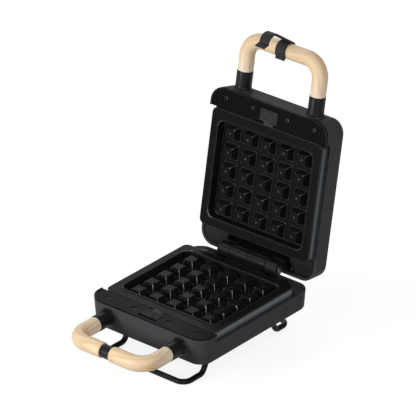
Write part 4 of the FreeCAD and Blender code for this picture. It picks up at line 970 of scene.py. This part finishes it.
def white_where_seen(nodes):
    """1 for rays that show the surroundings themselves: from the camera, a gloss or through glass."""
    seen = nodes.node("ShaderNodeLightPath", output="Is Camera Ray")
    return seen.larger(seen.beside("Is Glossy Ray")).larger(seen.beside("Is Transmission Ray"))


def floor():
    """A white floor: partly lit, so that it keeps the shadow, and partly white by itself where seen."""
    work = bmesh.new()
    bmesh.ops.create_grid(work, x_segments=1, y_segments=1, size=FLOOR_HALF)
    ground = placed("floor", outward_mesh("floor", work))
    material = bpy.data.materials.new("white_floor")
    material.use_nodes = True
    nodes = Nodes(material.node_tree)
    lit = nodes.node("ShaderNodeBsdfDiffuse", inputs={"Color": shade(FLOOR_GREY)})
    glow = nodes.node("ShaderNodeEmission", inputs={"Strength": white_where_seen(nodes) * FLOOR_GLOW})
    both = nodes.node("ShaderNodeAddShader", inputs={0: lit, 1: glow})
    nodes.node("ShaderNodeOutputMaterial", inputs={"Surface": both})
    ground.data.materials.append(material)


def surroundings():
    """A studio: dim walls at the horizon and a bright band of soft light above them."""
    world = bpy.data.worlds.new("studio")
    bpy.context.scene.world = world
    world.use_nodes = True
    nodes = Nodes(world.node_tree)
    way = nodes.node("ShaderNodeTexCoord", output="Generated")
    height = nodes.node("ShaderNodeSeparateXYZ", inputs={"Vector": way}, output="Z")
    level = nodes.node("ShaderNodeValToRGB", {"stops": ROOM_LEVELS}, {"Fac": height})
    light = nodes.node("ShaderNodeBackground", inputs={"Color": level})
    nodes.node("ShaderNodeOutputWorld", inputs={"Surface": light})


AIM = Vector((0.0, 0.02, 0.1))
LAMPS = (
    # name, azimuth and elevation in degrees, distance and size in metres, power in watts
    ("front_softbox", -18.0, 11.0, 1.5, 0.45, 15.0),
    ("left_softbox", -69.0, 52.0, 1.5, 0.35, 3.0),
    ("right_softbox", 102.0, 54.0, 1.6, 0.35, 3.0),
    ("near_softbox", 50.0, 24.0, 1.7, 0.35, 7.5),
    ("back_softbox", -140.0, 29.0, 1.6, 0.75, 4.2),
)


def direction(azimuth, elevation):
    """From the object towards a place: azimuth 0 is the front, and 90 the right."""
    turn, rise = math.radians(azimuth), math.radians(elevation)
    return Vector((
        math.sin(turn) * math.cos(rise), -math.cos(turn) * math.cos(rise), math.sin(rise)
    ))


def lamps():
    for name, azimuth, elevation, distance, size, power in LAMPS:
        data = bpy.data.lights.new(name, "AREA")
        data.size = size
        data.energy = power
        lamp = placed(name, data)
        toward = direction(azimuth, elevation)
        lamp.location = AIM + toward * distance
        lamp.rotation_euler = toward.to_track_quat("Z", "Y").to_euler()


PHOTO_SIDE = 416
FOCAL_PIXELS = 4406
VIEW_AZIMUTH = 39.94
VIEW_ELEVATION = 27.49
VIEW_DISTANCE = 4389.0 * MM
VIEW_RIGHT = 7.41 * MM
VIEW_UP = 79.19 * MM
VIEW_REACH = 100.0
PEG_TOP_DROP = 1.8 * MM


def camera():
    """The photograph's view, found from the pegs, the housing's edges and the handles."""
    back = direction(VIEW_AZIMUTH, VIEW_ELEVATION)
    turn = math.radians(VIEW_AZIMUTH)
    right = Vector((math.cos(turn), math.sin(turn), 0.0))
    up = back.cross(right)
    middle = PLACES["base"] @ Vector((0, 0, -PEG_TOP_DROP))
    data = bpy.data.cameras.new("camera")
    data.lens = FOCAL_PIXELS / PHOTO_SIDE * data.sensor_width
    data.clip_end = VIEW_REACH
    seat = placed("camera", data)
    axes = Matrix((right, up, back)).transposed().to_4x4()
    spot = middle + back * VIEW_DISTANCE + right * VIEW_RIGHT + up * VIEW_UP
    seat.matrix_world = Matrix.Translation(spot) @ axes
    bpy.context.scene.camera = seat


bpy.context.scene.view_settings.view_transform = "Standard"
cad_pieces()
handle_sleeves()
handle_ring()
wooden_grips()
screws()
floor()
surroundings()
lamps()
camera()
